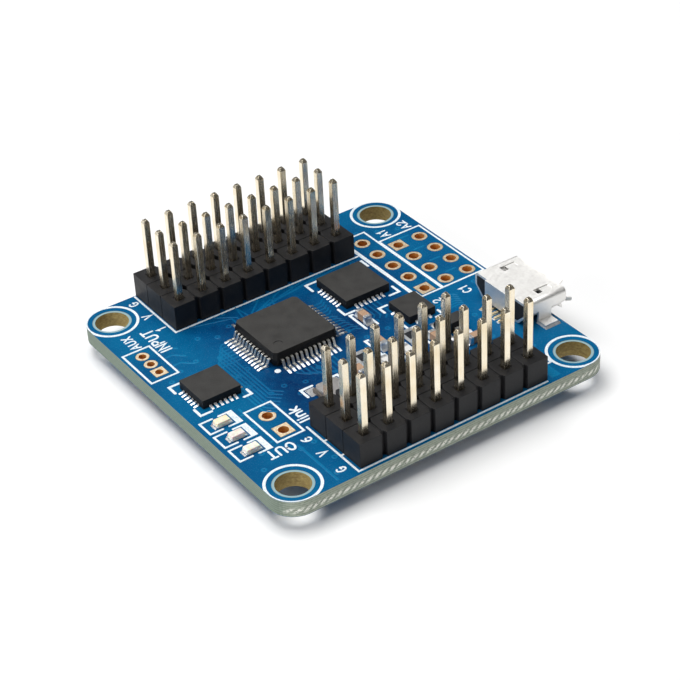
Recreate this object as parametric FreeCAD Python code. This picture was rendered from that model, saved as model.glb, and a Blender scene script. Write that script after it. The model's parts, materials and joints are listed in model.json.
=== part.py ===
import FreeCAD, Part
import math
import os

# A small robot controller board that drives servos: a square circuit board with a three-row
# input pin header along its +Y edge, a three-row output pin header along its -Y edge, a
# microcontroller, sensors, a USB socket on its +X edge, status lights and open solder pads.
#
# Frame: millimetres. The origin is the centre of the four mounting holes, on the board's
# underside. +X points to the USB socket, +Y to the input header, +Z up through the board.

os.makedirs("parts", exist_ok=True)

# ---------------------------------------------------------------- driving dimensions
PITCH = 2.54

# board
BOARD_SIDE = 35.4
BOARD_THICKNESS = 1.6
BOARD_CORNER_RADIUS = 2.5
MASK_THICKNESS = 0.03
HOLE_SPACING = 30.5
HOLE_RADIUS = 1.6
HOLE_MASK_OPENING = 1.85
PRINTED_RING = (2.305, 2.575)
INK_THICKNESS = 0.015

# plated holes: hole radius, pad radius; the plating's wall stands behind the hole radius
PLATING_WALL = 0.08
HEADER_HOLE = (0.50, 0.85)
OPEN_HOLE = (0.50, 0.76)
SMALL_HOLE = (0.37, 0.62)
MASK_CLEARANCE = 0.05

# pin headers: (first column x, first row y), rows run towards +Y. The notch between two
# segments is given by its width at the face, its width at the floor and its depth.
INPUT_FIRST_PIN = (-9.98, 11.37)
OUTPUT_FIRST_PIN = (-8.40, -15.90)
INPUT_ROWS = (("signal", 8), ("power", 8), ("ground", 8))
OUTPUT_ROWS = (("ground", 8), ("power", 8), ("signal", 6))
STRIP_WIDTH = 2.48
STRIP_HEIGHT = 2.54
STRIP_NOTCH = (0.56, 0.30, 0.40)
STRIP_MOUTH = 0.95
STRIP_MOUTH_DEPTH = 0.15
STRIP_GROOVE = (0.20, 0.12)
PIN_SIDE = 0.64
PIN_TIP_SIDE = 0.36
PIN_TIP_LENGTH = 0.30
PIN_HEIGHT_ABOVE_BOARD = 8.60
PIN_TAIL_BELOW_BOARD = 1.40
JOINT_RADIUS = 0.78
JOINT_NECK_RADIUS = 0.47
JOINT_HEIGHT = 0.82
JOINT_BOW = (0.53, 0.295)

# open rows of plated holes: x, y of the square one, step, count
AUX_ROW = (11.03, 1.43, PITCH, 5)
EXPANSION_COLUMNS = (13.63, 16.23)
EXPANSION_ROW_START = 1.53
EXPANSION_ROWS = 4
LINK_ROW = (-11.79, -8.61, PITCH, 2)
SENSOR_PORT_ROW = (-15.88, 5.52, 1.50, 3)

# surface-mounted parts
PAD_THICKNESS = 0.03
LEAD_THICKNESS = 0.12
LEAD_SHOULDER_SHARE = 0.55

MCU_CENTRE = (-3.90, 2.80)
MCU_SIDE = 7.0
MCU_HEIGHT = 1.50
MCU_STANDOFF = 0.10
MCU_DRAFT = 0.12
MCU_CORNER = 0.30
MCU_LEADS_PER_SIDE = 12
MCU_LEAD_WIDTH = 0.25
MCU_LEAD_REACH = 1.00
MCU_LEAD_FOOT = 0.52
MCU_PAD_WIDTH = 0.26
MCU_PAD_TOE = 0.45
MCU_DIMPLE = (-6.08, 0.64, 0.45, 0.05)
FINE_PITCH = 0.50

# leadless chips: centre, size in X and Y, height, terminals per side, pad length beyond the body
MOTION_SENSOR = ((-13.75, 0.15), (4.0, 4.0), 0.90, 6, 0.55)
USB_BRIDGE = ((5.65, 5.60), (5.0, 5.0), 0.90, 7, 0.55)
COMPASS = ((7.75, -1.00), (3.0, 3.3), 0.85, 4, 0.35)
LEADLESS_PAD_WIDTH = 0.26
LEADLESS_PAD_UNDER = 0.40
LEADLESS_FILLET_HEIGHT = 0.22
LEADLESS_FILLET_KNEE = 0.25

# small-outline package: body length along X, body width along Y, height
REGULATOR_CENTRE = (8.85, -5.50)
REGULATOR_BODY = (2.90, 1.60, 1.10)
REGULATOR_CORNER = 0.05
REGULATOR_STANDOFF = 0.05
OUTLINE_LEAD_PITCH = 0.95
OUTLINE_LEAD_WIDTH = 0.40
OUTLINE_LEAD_REACH = 0.60
OUTLINE_LEAD_FOOT = 0.32
OUTLINE_PAD_WIDTH = 0.56
OUTLINE_PAD_TOE = 0.35

# crystal in a metal can
CRYSTAL_CENTRE = (-5.50, -7.30)
CRYSTAL_BASE = (2.5, 3.2, 0.35)
CRYSTAL_LID = (2.2, 2.9, 0.40)
CRYSTAL_LID_ROUNDING = 0.30
CRYSTAL_PAD = (0.95, 1.15)

# status lights, 0603 size, lying along X
LED_X = -15.55
LED_COLUMN_Y = (-4.62, -7.00, -9.38)
LED_NAMES = ("amber", "red", "white")
LED_BODY = (1.60, 0.80, 0.20)
LED_LENS = (1.52, 0.78, 0.30)
LED_LENS_SLOPE = 0.10
LED_TERMINAL_LENGTH = 0.25
LED_FILLET_REACH = 0.16

# chip capacitors and resistors lying along Y: centre x, centre y
CHIP_0603 = (1.60, 0.80)
CHIP_0805 = (2.00, 1.25)
CAPACITORS = (
    (3.40, 0.70, CHIP_0603, 0.80, False),
    (2.10, -3.60, CHIP_0603, 0.80, False),
    (-1.90, -6.00, CHIP_0603, 0.80, False),
    (6.60, -6.20, CHIP_0603, 0.80, False),
    (9.40, -8.45, CHIP_0603, 0.80, True),
)
RESISTORS = (
    (-0.40, -4.70, CHIP_0805, 0.50, False),
    (5.10, -4.60, CHIP_0805, 0.50, False),
    (1.00, -6.30, CHIP_0603, 0.45, False),
    (3.50, -6.10, CHIP_0603, 0.45, False),
)
CHIP_TERMINAL_SHARE = 0.22
CHIP_CORE_INSET = 0.02
CHIP_FILLET_REACH = 0.35
CHIP_FILLET_SHARE = 0.60
CHIP_FILLET_KNEE = 0.33

# micro-USB socket
USB_CENTRE_Y = -6.15
USB_REAR_X = 13.90
USB_MOUTH_X = 19.30
USB_WIDTH = 7.50
USB_LOWER_WIDTH = 5.20
USB_HEIGHT = 2.50
USB_BEVEL_HEIGHT = 1.25
USB_LOWER_GROWTH = 0.60
USB_SHEET = 0.25
USB_CORNER_RADIUS = 0.45
USB_LIP_LENGTH = 0.42
USB_LIP_FLARE = 0.34
USB_LIP_NOTCH = 1.00
USB_FLAP_WIDTH = 4.00
USB_FLAP_GAP = 0.30
USB_SLOT = (1.70, 0.75)
USB_SLOT_SPACING = 4.90
USB_SLOT_X = 17.15
USB_LATCH_GAP = 0.60
USB_LATCH_SINK = 0.05
USB_LATCH_SIDE_GAP = 0.06
USB_FOOT_X = 16.40
USB_FOOT_LENGTH = 1.50
USB_FOOT_REACH = 1.00
USB_FOOT_PAD_MARGIN = (0.15, 0.25)
USB_BLOCK_DEPTH = 1.25
USB_TONGUE = (3.10, 3.90, 0.50)
USB_TONGUE_BOTTOM = 1.30
USB_CONTACTS = 5
USB_CONTACT_PITCH = 0.65
USB_CONTACT_WIDTH = 0.26
USB_CONTACT_THICKNESS = 0.14
USB_TAIL_X = 12.90
USB_TAIL_PAD = (0.15, 0.38)

# values that follow from the ones above
TOP = BOARD_THICKNESS
PAD_TOP = TOP + PAD_THICKNESS
HOLE_OFFSET = HOLE_SPACING / 2

# turns in degrees, and how straight an edge must run along an axis to be rounded with it
QUARTER_TURN = 90
HALF_TURN = 180
FULL_TURN = 360
QUARTER_TURNS = (0, QUARTER_TURN, HALF_TURN, HALF_TURN + QUARTER_TURN)
ALONG_AXIS = 0.999


# ---------------------------------------------------------------- helpers
def vector(x, y, z):
    return FreeCAD.Vector(x, y, z)


def box(low, high):
    size = [b - a for a, b in zip(low, high)]
    return Part.makeBox(size[0], size[1], size[2], vector(*low))


def centred_box(centre, size_x, size_y, z_low, z_high):
    x, y = centre
    low = (x - size_x / 2, y - size_y / 2, z_low)
    high = (x + size_x / 2, y + size_y / 2, z_high)
    return box(low, high)


def circle_wire(x, y, radius, z):
    return Part.Wire(Part.makeCircle(radius, vector(x, y, z)))


def polygon_wire(points):
    corners = [vector(*point) for point in points]
    return Part.makePolygon(corners + corners[:1])


def square_wire(x, y, side, z):
    h = side / 2
    return polygon_wire([(x - h, y - h, z), (x + h, y - h, z), (x + h, y + h, z), (x - h, y + h, z)])


def rounded_square_wire(side, radius, z):
    """A square about the origin with round corners."""
    inner = side / 2 - radius
    diagonal = inner + radius * math.sqrt(0.5)
    edges = []
    for turn in QUARTER_TURNS:
        before = vector(side / 2, -inner, z)
        after = vector(side / 2, inner, z)
        middle = vector(diagonal, diagonal, z)
        corner_end = vector(inner, side / 2, z)
        line = Part.makeLine(before, after)
        arc = Part.Arc(after, middle, corner_end).toShape()
        for edge in (line, arc):
            edge.rotate(vector(0, 0, 0), vector(0, 0, 1), turn)
            edges.append(edge)
    return Part.Wire(Part.__sortEdges__(edges))


def plate(outer, holes, thickness):
    """A flat plate: an outer wire with any number of holes, raised by its thickness."""
    face = Part.makeFace([outer] + holes, "Part::FaceMakerBullseye")
    return face.extrude(vector(0, 0, thickness))


def side_prism(outline, width):
    """An outline in the X-Z plane, centred on Y and extruded to a width."""
    wire = polygon_wire([(x, -width / 2, z) for x, z in outline])
    return Part.Face(wire).extrude(vector(0, width, 0))


def end_prism(outline, x_low, length):
    """An outline in the Y-Z plane, extruded along X."""
    wire = polygon_wire([(x_low, y, z) for y, z in outline])
    return Part.Face(wire).extrude(vector(length, 0, 0))


def frustum(x, y, side_low, side_high, z_low, z_high):
    low = square_wire(x, y, side_low, z_low)
    high = square_wire(x, y, side_high, z_high)
    return Part.makeLoft([low, high], True, True)


def placed(shape, x, y, z=0.0, turn=0.0):
    """A copy turned about Z and then moved."""
    copy = shape.copy()
    copy.rotate(vector(0, 0, 0), vector(0, 0, 1), turn)
    copy.translate(vector(x, y, z))
    return copy


def rounded_along(solid, axis, radius):
    """The solid with every straight edge that runs along one axis rounded."""
    chosen = []
    for edge in solid.Edges:
        span = edge.Vertexes[-1].Point - edge.Vertexes[0].Point
        if span.Length > 0 and abs(span.dot(axis)) > ALONG_AXIS * span.Length:
            chosen.append(edge)
    return solid.makeFillet(radius, chosen)


def save(name, solids):
    shape = solids[0] if len(solids) == 1 else Part.makeCompound(solids)
    shape.exportStep("parts/" + name + ".step")


# ---------------------------------------------------------------- places of the plated holes
def header_places(first_pin, rows):
    """Row name to the list of pin places, from column zero onwards."""
    places = {}
    for index, (name, count) in enumerate(rows):
        y = first_pin[1] + index * PITCH
        places[name] = [(first_pin[0] + column * PITCH, y) for column in range(count)]
    return places


def row_places(row):
    x, y, step, count = row
    return [(x, y + index * step) for index in range(count)]


def expansion_places():
    rows = [EXPANSION_ROW_START + index * PITCH for index in range(EXPANSION_ROWS)]
    return [(x, y) for x in EXPANSION_COLUMNS for y in rows]


def mounting_places():
    return [(x, y) for x in (-HOLE_OFFSET, HOLE_OFFSET) for y in (-HOLE_OFFSET, HOLE_OFFSET)]


INPUT_PINS = header_places(INPUT_FIRST_PIN, INPUT_ROWS)
OUTPUT_PINS = header_places(OUTPUT_FIRST_PIN, OUTPUT_ROWS)
ALL_INPUT_PINS = [place for row in INPUT_PINS.values() for place in row]
ALL_OUTPUT_PINS = [place for row in OUTPUT_PINS.values() for place in row]

# node name: places, hole size, index of the place with a square pad (None for all round)
PLATED_HOLES = {
    "input_header_hole_plating": (ALL_INPUT_PINS, HEADER_HOLE, None),
    "output_header_hole_plating": (ALL_OUTPUT_PINS, HEADER_HOLE, None),
    "auxiliary_row_hole_plating": (row_places(AUX_ROW), OPEN_HOLE, 0),
    "expansion_hole_plating": (expansion_places(), OPEN_HOLE, EXPANSION_ROWS - 1),
    "link_hole_plating": (row_places(LINK_ROW), OPEN_HOLE, 0),
    "sensor_port_hole_plating": (row_places(SENSOR_PORT_ROW), SMALL_HOLE, 0),
}


# ---------------------------------------------------------------- board
def make_board():
    outline = rounded_square_wire(BOARD_SIDE, BOARD_CORNER_RADIUS, 0)
    core_low = MASK_THICKNESS
    core_thickness = BOARD_THICKNESS - 2 * MASK_THICKNESS
    core_holes = [circle_wire(x, y, HOLE_RADIUS, 0) for x, y in mounting_places()]
    mask_holes = [circle_wire(x, y, HOLE_MASK_OPENING, 0) for x, y in mounting_places()]
    for places, (hole_radius, pad_radius), square_index in PLATED_HOLES.values():
        for index, (x, y) in enumerate(places):
            core_holes.append(circle_wire(x, y, hole_radius + PLATING_WALL, 0))
            if index == square_index:
                mask_holes.append(square_wire(x, y, 2 * (pad_radius + MASK_CLEARANCE), 0))
            else:
                mask_holes.append(circle_wire(x, y, pad_radius + MASK_CLEARANCE, 0))
    core = plate(outline, core_holes, core_thickness)
    mask = plate(outline, mask_holes, MASK_THICKNESS)
    save("board_laminate", [placed(core, 0, 0, core_low)])
    save("solder_mask_bottom", [mask])
    save("solder_mask_top", [placed(mask, 0, 0, TOP - MASK_THICKNESS)])


def make_hole_rings():
    """The printed ring round each mounting hole, cut off where it meets the board's edge."""
    inner, outer = PRINTED_RING
    ring = plate(circle_wire(0, 0, outer, 0), [circle_wire(0, 0, inner, 0)], INK_THICKNESS)
    outline = rounded_square_wire(BOARD_SIDE, BOARD_CORNER_RADIUS, 0)
    print_area = plate(outline, [], INK_THICKNESS)
    rings = [placed(ring, x, y).common(print_area) for x, y in mounting_places()]
    save("printed_hole_rings", [placed(ring, 0, 0, TOP) for ring in rings])


def plated_hole(hole_radius, pad_radius, square):
    """A plated tube through the board with a copper pad on both faces."""
    bore = circle_wire(0, 0, hole_radius, 0)
    wall = plate(circle_wire(0, 0, hole_radius + PLATING_WALL, 0), [bore], BOARD_THICKNESS)
    if square:
        pad_outline = square_wire(0, 0, 2 * pad_radius, 0)
    else:
        pad_outline = circle_wire(0, 0, pad_radius, 0)
    pad = plate(pad_outline, [bore], MASK_THICKNESS)
    upper_pad = placed(pad, 0, 0, TOP - MASK_THICKNESS)
    return wall.fuse([pad, upper_pad]).removeSplitter()


def make_plated_holes():
    for name, (places, (hole_radius, pad_radius), square_index) in PLATED_HOLES.items():
        round_one = plated_hole(hole_radius, pad_radius, False)
        square_one = plated_hole(hole_radius, pad_radius, True)
        solids = []
        for index, (x, y) in enumerate(places):
            model = square_one if index == square_index else round_one
            solids.append(placed(model, x, y))
        save(name, solids)


# ---------------------------------------------------------------- pin headers
def header_strip(count):
    """A moulded bar scored into one segment per pin; the first pin is at x = 0, the base at z = 0."""
    half = STRIP_WIDTH / 2
    start = -PITCH / 2
    end = (count - 0.5) * PITCH
    outline = polygon_wire([(start, -half, 0), (end, -half, 0), (end, half, 0), (start, half, 0)])
    pin_holes = [square_wire(column * PITCH, 0, PIN_SIDE, 0) for column in range(count)]
    strip = plate(outline, pin_holes, STRIP_HEIGHT)

    face_width, floor_width, notch_depth = STRIP_NOTCH
    notch_outline = [
        (-face_width / 2, -half, 0),
        (-floor_width / 2, notch_depth - half, 0),
        (floor_width / 2, notch_depth - half, 0),
        (face_width / 2, -half, 0),
    ]
    notch = plate(polygon_wire(notch_outline), [], STRIP_HEIGHT)
    groove_width, groove_depth = STRIP_GROOVE
    groove_outline = [
        (-groove_width / 2, STRIP_HEIGHT),
        (0, STRIP_HEIGHT - groove_depth),
        (groove_width / 2, STRIP_HEIGHT),
    ]
    groove = side_prism(groove_outline, STRIP_WIDTH)
    mouth_floor = STRIP_HEIGHT - STRIP_MOUTH_DEPTH
    mouth = frustum(0, 0, PIN_SIDE, STRIP_MOUTH, mouth_floor, STRIP_HEIGHT)
    cuts = [placed(mouth, column * PITCH, 0) for column in range(count)]
    for column in range(count - 1):
        x = (column + 0.5) * PITCH
        cuts += [placed(notch, x, 0), placed(notch, x, 0, 0, HALF_TURN), placed(groove, x, 0)]
    return strip.cut(cuts)


def header_pin():
    """A square pin with a blunt pyramid at both ends, in place through the board."""
    low = -PIN_TAIL_BELOW_BOARD
    high = TOP + PIN_HEIGHT_ABOVE_BOARD
    shaft_low = low + PIN_TIP_LENGTH
    shaft_high = high - PIN_TIP_LENGTH
    sections = [
        square_wire(0, 0, PIN_TIP_SIDE, low),
        square_wire(0, 0, PIN_SIDE, shaft_low),
        square_wire(0, 0, PIN_SIDE, shaft_high),
        square_wire(0, 0, PIN_TIP_SIDE, high),
    ]
    return Part.makeLoft(sections, True, True)


def solder_joint():
    """Solder that fills the plated hole round the pin and climbs the pin below the board."""
    hole_radius = HEADER_HOLE[0]
    fill_top = TOP - MASK_THICKNESS
    skirt = vector(JOINT_RADIUS, 0, 0)
    bow = vector(JOINT_BOW[0], 0, -JOINT_BOW[1])
    neck = vector(JOINT_NECK_RADIUS, 0, -JOINT_HEIGHT)
    flank = Part.Arc(skirt, bow, neck).toShape()
    path = [neck, vector(0, 0, -JOINT_HEIGHT), vector(0, 0, fill_top), vector(hole_radius, 0, fill_top)]
    path += [vector(hole_radius, 0, 0), skirt]
    edges = [flank] + [Part.makeLine(a, b) for a, b in zip(path, path[1:])]
    profile = Part.Face(Part.Wire(Part.__sortEdges__(edges)))
    body = profile.revolve(vector(0, 0, 0), vector(0, 0, 1), FULL_TURN)
    half = PIN_SIDE / 2
    pin_space = box((-half, -half, -JOINT_HEIGHT - PIN_SIDE), (half, half, TOP + PIN_SIDE))
    return body.cut(pin_space)


def make_headers():
    pin = header_pin()
    joint = solder_joint()
    for header, rows in (("input", INPUT_PINS), ("output", OUTPUT_PINS)):
        joints = []
        for row, places in rows.items():
            x, y = places[0]
            strip = placed(header_strip(len(places)), x, y, TOP)
            save(header + "_" + row + "_strip", [strip])
            save(header + "_" + row + "_pins", [placed(pin, *place) for place in places])
            joints += [placed(joint, *place) for place in places]
        save(header + "_header_solder", joints)


# ---------------------------------------------------------------- leaded packages
def chamfered_rectangle_wire(size_x, size_y, corner, z):
    a = size_x / 2
    b = size_y / 2
    points = [(-a + corner, -b, z), (a - corner, -b, z), (a, -b + corner, z), (a, b - corner, z)]
    points += [(a - corner, b, z), (-a + corner, b, z), (-a, b - corner, z), (-a, -b + corner, z)]
    return polygon_wire(points)


def moulded_body(size_x, size_y, z_low, z_high, draft, corner, band_height):
    """A moulded case whose sides lean in above and below a straight band at the leads."""
    band_low = band_height - LEAD_THICKNESS / 2
    band_high = band_height + LEAD_THICKNESS / 2
    narrow_x = size_x - 2 * draft
    narrow_y = size_y - 2 * draft
    sections = [
        chamfered_rectangle_wire(narrow_x, narrow_y, corner, z_low),
        chamfered_rectangle_wire(size_x, size_y, corner, band_low),
        chamfered_rectangle_wire(size_x, size_y, corner, band_high),
        chamfered_rectangle_wire(narrow_x, narrow_y, corner, z_high),
    ]
    return Part.makeLoft(sections, True, True)


def gull_lead(start, reach, band_height, foot_length, width):
    """A lead that leaves the case at x = start, bends down and ends in a flat foot."""
    end = start + reach
    knee = end - foot_length
    shoulder = start + (knee - start) * LEAD_SHOULDER_SHARE
    top = band_height + LEAD_THICKNESS / 2
    foot_top = PAD_THICKNESS + LEAD_THICKNESS
    outline = [
        (start, top),
        (shoulder, top),
        (knee, foot_top),
        (end, foot_top),
        (end, PAD_THICKNESS),
        (knee - LEAD_THICKNESS, PAD_THICKNESS),
        (shoulder - LEAD_THICKNESS, top - LEAD_THICKNESS),
        (start, top - LEAD_THICKNESS),
    ]
    return side_prism(outline, width)


def toe_pad(start, foot_end, end, width):
    """A soldered copper pad under a lead's foot, with solder rising at its toe."""
    toe_height = PAD_THICKNESS + LEAD_THICKNESS
    outline = [
        (start, 0),
        (end, 0),
        (end, PAD_THICKNESS),
        (foot_end, toe_height),
        (foot_end, PAD_THICKNESS),
        (start, PAD_THICKNESS),
    ]
    return side_prism(outline, width)


def around_square(model, centre, count, pitch):
    """Copies of a model that points along +X, count to a side on all four sides."""
    copies = []
    for turn in QUARTER_TURNS:
        for index in range(count):
            row = placed(model, 0, (index - (count - 1) / 2) * pitch)
            copies.append(placed(placed(row, 0, 0, 0, turn), centre[0], centre[1], TOP))
    return copies


def make_microcontroller():
    half = MCU_SIDE / 2
    band_height = MCU_HEIGHT / 2
    x, y = MCU_CENTRE
    case = moulded_body(MCU_SIDE, MCU_SIDE, MCU_STANDOFF, MCU_HEIGHT, MCU_DRAFT, MCU_CORNER, band_height)
    lead = gull_lead(half, MCU_LEAD_REACH, band_height, MCU_LEAD_FOOT, MCU_LEAD_WIDTH)
    foot_end = half + MCU_LEAD_REACH
    pad_start = foot_end - MCU_LEAD_FOOT - 2 * LEAD_THICKNESS
    pad = toe_pad(pad_start, foot_end, foot_end + MCU_PAD_TOE, MCU_PAD_WIDTH)
    dimple_x, dimple_y, dimple_radius, dimple_depth = MCU_DIMPLE
    dimple_place = vector(dimple_x, dimple_y, TOP + MCU_HEIGHT - dimple_depth)
    dimple = Part.makeCylinder(dimple_radius, MCU_HEIGHT, dimple_place)
    save("microcontroller_body", [placed(case, x, y, TOP).cut(dimple)])
    save("microcontroller_leads", around_square(lead, MCU_CENTRE, MCU_LEADS_PER_SIDE, FINE_PITCH))
    save("microcontroller_pads", around_square(pad, MCU_CENTRE, MCU_LEADS_PER_SIDE, FINE_PITCH))


def outline_package(name, centre, body, lower_leads, upper_leads):
    """A small moulded package with leads along its two long sides, at the given columns."""
    length, width, height = body
    band_height = height / 2
    low = REGULATOR_STANDOFF
    case = moulded_body(length, width, low, height, MCU_DRAFT, REGULATOR_CORNER, band_height)
    start = width / 2
    foot_end = start + OUTLINE_LEAD_REACH
    lead = gull_lead(start, OUTLINE_LEAD_REACH, band_height, OUTLINE_LEAD_FOOT, OUTLINE_LEAD_WIDTH)
    pad_start = foot_end - OUTLINE_LEAD_FOOT - LEAD_THICKNESS
    pad = toe_pad(pad_start, foot_end, foot_end + OUTLINE_PAD_TOE, OUTLINE_PAD_WIDTH)
    leads = []
    pads = []
    for columns, turn in ((lower_leads, -QUARTER_TURN), (upper_leads, QUARTER_TURN)):
        for column in columns:
            x = centre[0] + column * OUTLINE_LEAD_PITCH
            leads.append(placed(lead, x, centre[1], TOP, turn))
            pads.append(placed(pad, x, centre[1], TOP, turn))
    save(name + "_body", [placed(case, centre[0], centre[1], TOP)])
    save(name + "_leads", leads)
    save(name + "_pads", pads)


# ---------------------------------------------------------------- leadless packages
def leadless_chip(name, chip):
    centre, (size_x, size_y), height, per_side, pad_reach = chip
    case = centred_box(centre, size_x, size_y, PAD_TOP, TOP + height)
    outline = [
        (-LEADLESS_PAD_UNDER, 0),
        (pad_reach, 0),
        (pad_reach, PAD_THICKNESS),
        (pad_reach * LEADLESS_FILLET_KNEE, LEADLESS_FILLET_HEIGHT / 2),
        (0, LEADLESS_FILLET_HEIGHT),
        (0, PAD_THICKNESS),
        (-LEADLESS_PAD_UNDER, PAD_THICKNESS),
    ]
    pad = side_prism(outline, LEADLESS_PAD_WIDTH)
    pads = []
    for turn in QUARTER_TURNS:
        out = size_x / 2 if turn % HALF_TURN == 0 else size_y / 2
        for index in range(per_side):
            along = (index - (per_side - 1) / 2) * FINE_PITCH
            side = placed(placed(pad, out, along), 0, 0, 0, turn)
            pads.append(placed(side, centre[0], centre[1], TOP))
    save(name + "_body", [case])
    save(name + "_pads", pads)


def make_crystal():
    x, y = CRYSTAL_CENTRE
    base_x, base_y, base_height = CRYSTAL_BASE
    lid_x, lid_y, lid_height = CRYSTAL_LID
    base_top = PAD_TOP + base_height
    base = centred_box(CRYSTAL_CENTRE, base_x, base_y, PAD_TOP, base_top)
    lid = centred_box(CRYSTAL_CENTRE, lid_x, lid_y, base_top, base_top + lid_height)
    lid = rounded_along(lid, vector(0, 0, 1), CRYSTAL_LID_ROUNDING)
    pads = []
    for side_x in (-1, 1):
        for side_y in (-1, 1):
            corner = (x + side_x * base_x / 2, y + side_y * base_y / 2)
            pads.append(centred_box(corner, CRYSTAL_PAD[0], CRYSTAL_PAD[1], TOP, PAD_TOP))
    save("crystal_base", [base])
    save("crystal_lid", [lid])
    save("crystal_pads", pads)


# ---------------------------------------------------------------- chip parts and status lights
def chip_part(size, height, turned):
    """Core, two end caps and two solder fillets of a chip part, about its own centre."""
    length, width = size
    cap = length * CHIP_TERMINAL_SHARE
    half = length / 2
    low = PAD_THICKNESS
    high = low + height
    inset = CHIP_CORE_INSET
    knee = low + height * CHIP_FILLET_SHARE * CHIP_FILLET_KNEE
    core = box((-half + cap, inset - width / 2, low + inset), (half - cap, width / 2 - inset, high - inset))
    outline = [
        (half - cap, 0),
        (half + CHIP_FILLET_REACH, 0),
        (half + CHIP_FILLET_REACH, PAD_THICKNESS),
        (half + CHIP_FILLET_REACH * CHIP_FILLET_KNEE, knee),
        (half, low + height * CHIP_FILLET_SHARE),
        (half, low),
        (half - cap, low),
    ]
    fillet = side_prism(outline, width)
    end_cap = box((half - cap, -width / 2, low), (half, width / 2, high))
    turn = 0 if turned else QUARTER_TURN
    caps = [placed(end_cap, 0, 0, 0, turn + side) for side in (0, HALF_TURN)]
    fillets = [placed(fillet, 0, 0, 0, turn + side) for side in (0, HALF_TURN)]
    return placed(core, 0, 0, 0, turn), caps, fillets


def make_chip_parts():
    fillets = []
    for kind, entries in (("capacitor", CAPACITORS), ("resistor", RESISTORS)):
        cores = []
        caps = []
        for x, y, size, height, turned in entries:
            core, part_caps, part_fillets = chip_part(size, height, turned)
            cores.append(placed(core, x, y, TOP))
            caps += [placed(cap, x, y, TOP) for cap in part_caps]
            fillets += [placed(fillet, x, y, TOP) for fillet in part_fillets]
        save(kind + "_cores", cores)
        save(kind + "_end_caps", caps)
    save("chip_part_solder", fillets)


def make_status_lights():
    length, width, height = LED_BODY
    lens_length, lens_width, lens_height = LED_LENS
    half = length / 2
    low = PAD_THICKNESS
    core_length = length - 2 * LED_TERMINAL_LENGTH
    substrate = centred_box((0, 0), core_length, width, low, low + height)
    base = low + height
    lens_outline = [
        (-lens_length / 2, base),
        (lens_length / 2, base),
        (lens_length / 2 - LED_LENS_SLOPE, base + lens_height),
        (LED_LENS_SLOPE - lens_length / 2, base + lens_height),
    ]
    lens = side_prism(lens_outline, lens_width)
    cap_outline = [
        (half - LED_TERMINAL_LENGTH, 0),
        (half + LED_FILLET_REACH, 0),
        (half + LED_FILLET_REACH, low),
        (half, low + height / 2),
        (half, low + height),
        (half - LED_TERMINAL_LENGTH, low + height),
    ]
    cap = side_prism(cap_outline, width)
    substrates = []
    caps = []
    for name, y in zip(LED_NAMES, LED_COLUMN_Y):
        save("status_lens_" + name, [placed(lens, LED_X, y, TOP)])
        substrates.append(placed(substrate, LED_X, y, TOP))
        caps += [placed(cap, LED_X, y, TOP, turn) for turn in (0, HALF_TURN)]
    save("status_light_substrates", substrates)
    save("status_light_terminals", caps)


# ---------------------------------------------------------------- USB socket
def usb_outline(grow):
    """Half-bevelled outline of the socket in Y and Z, grown outwards by a distance."""
    half_top = USB_WIDTH / 2 + grow
    half_low = USB_LOWER_WIDTH / 2 + grow * USB_LOWER_GROWTH
    low = PAD_TOP - grow
    high = PAD_TOP + USB_HEIGHT + grow
    bevel = PAD_TOP + USB_BEVEL_HEIGHT
    right = [(half_low, low), (half_top, bevel), (half_top, high)]
    left = [(-y, z) for y, z in right[::-1]]
    return [(y + USB_CENTRE_Y, z) for y, z in right + left]


def usb_prism(grow, x_low, x_high, radius):
    prism = end_prism(usb_outline(grow), x_low, x_high - x_low)
    return rounded_along(prism, vector(1, 0, 0), radius)


def usb_flare(grow_start, grow_end):
    start = polygon_wire([(USB_MOUTH_X - USB_LIP_LENGTH, y, z) for y, z in usb_outline(grow_start)])
    end = polygon_wire([(USB_MOUTH_X, y, z) for y, z in usb_outline(grow_end)])
    return Part.makeLoft([start, end], True, True)


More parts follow.
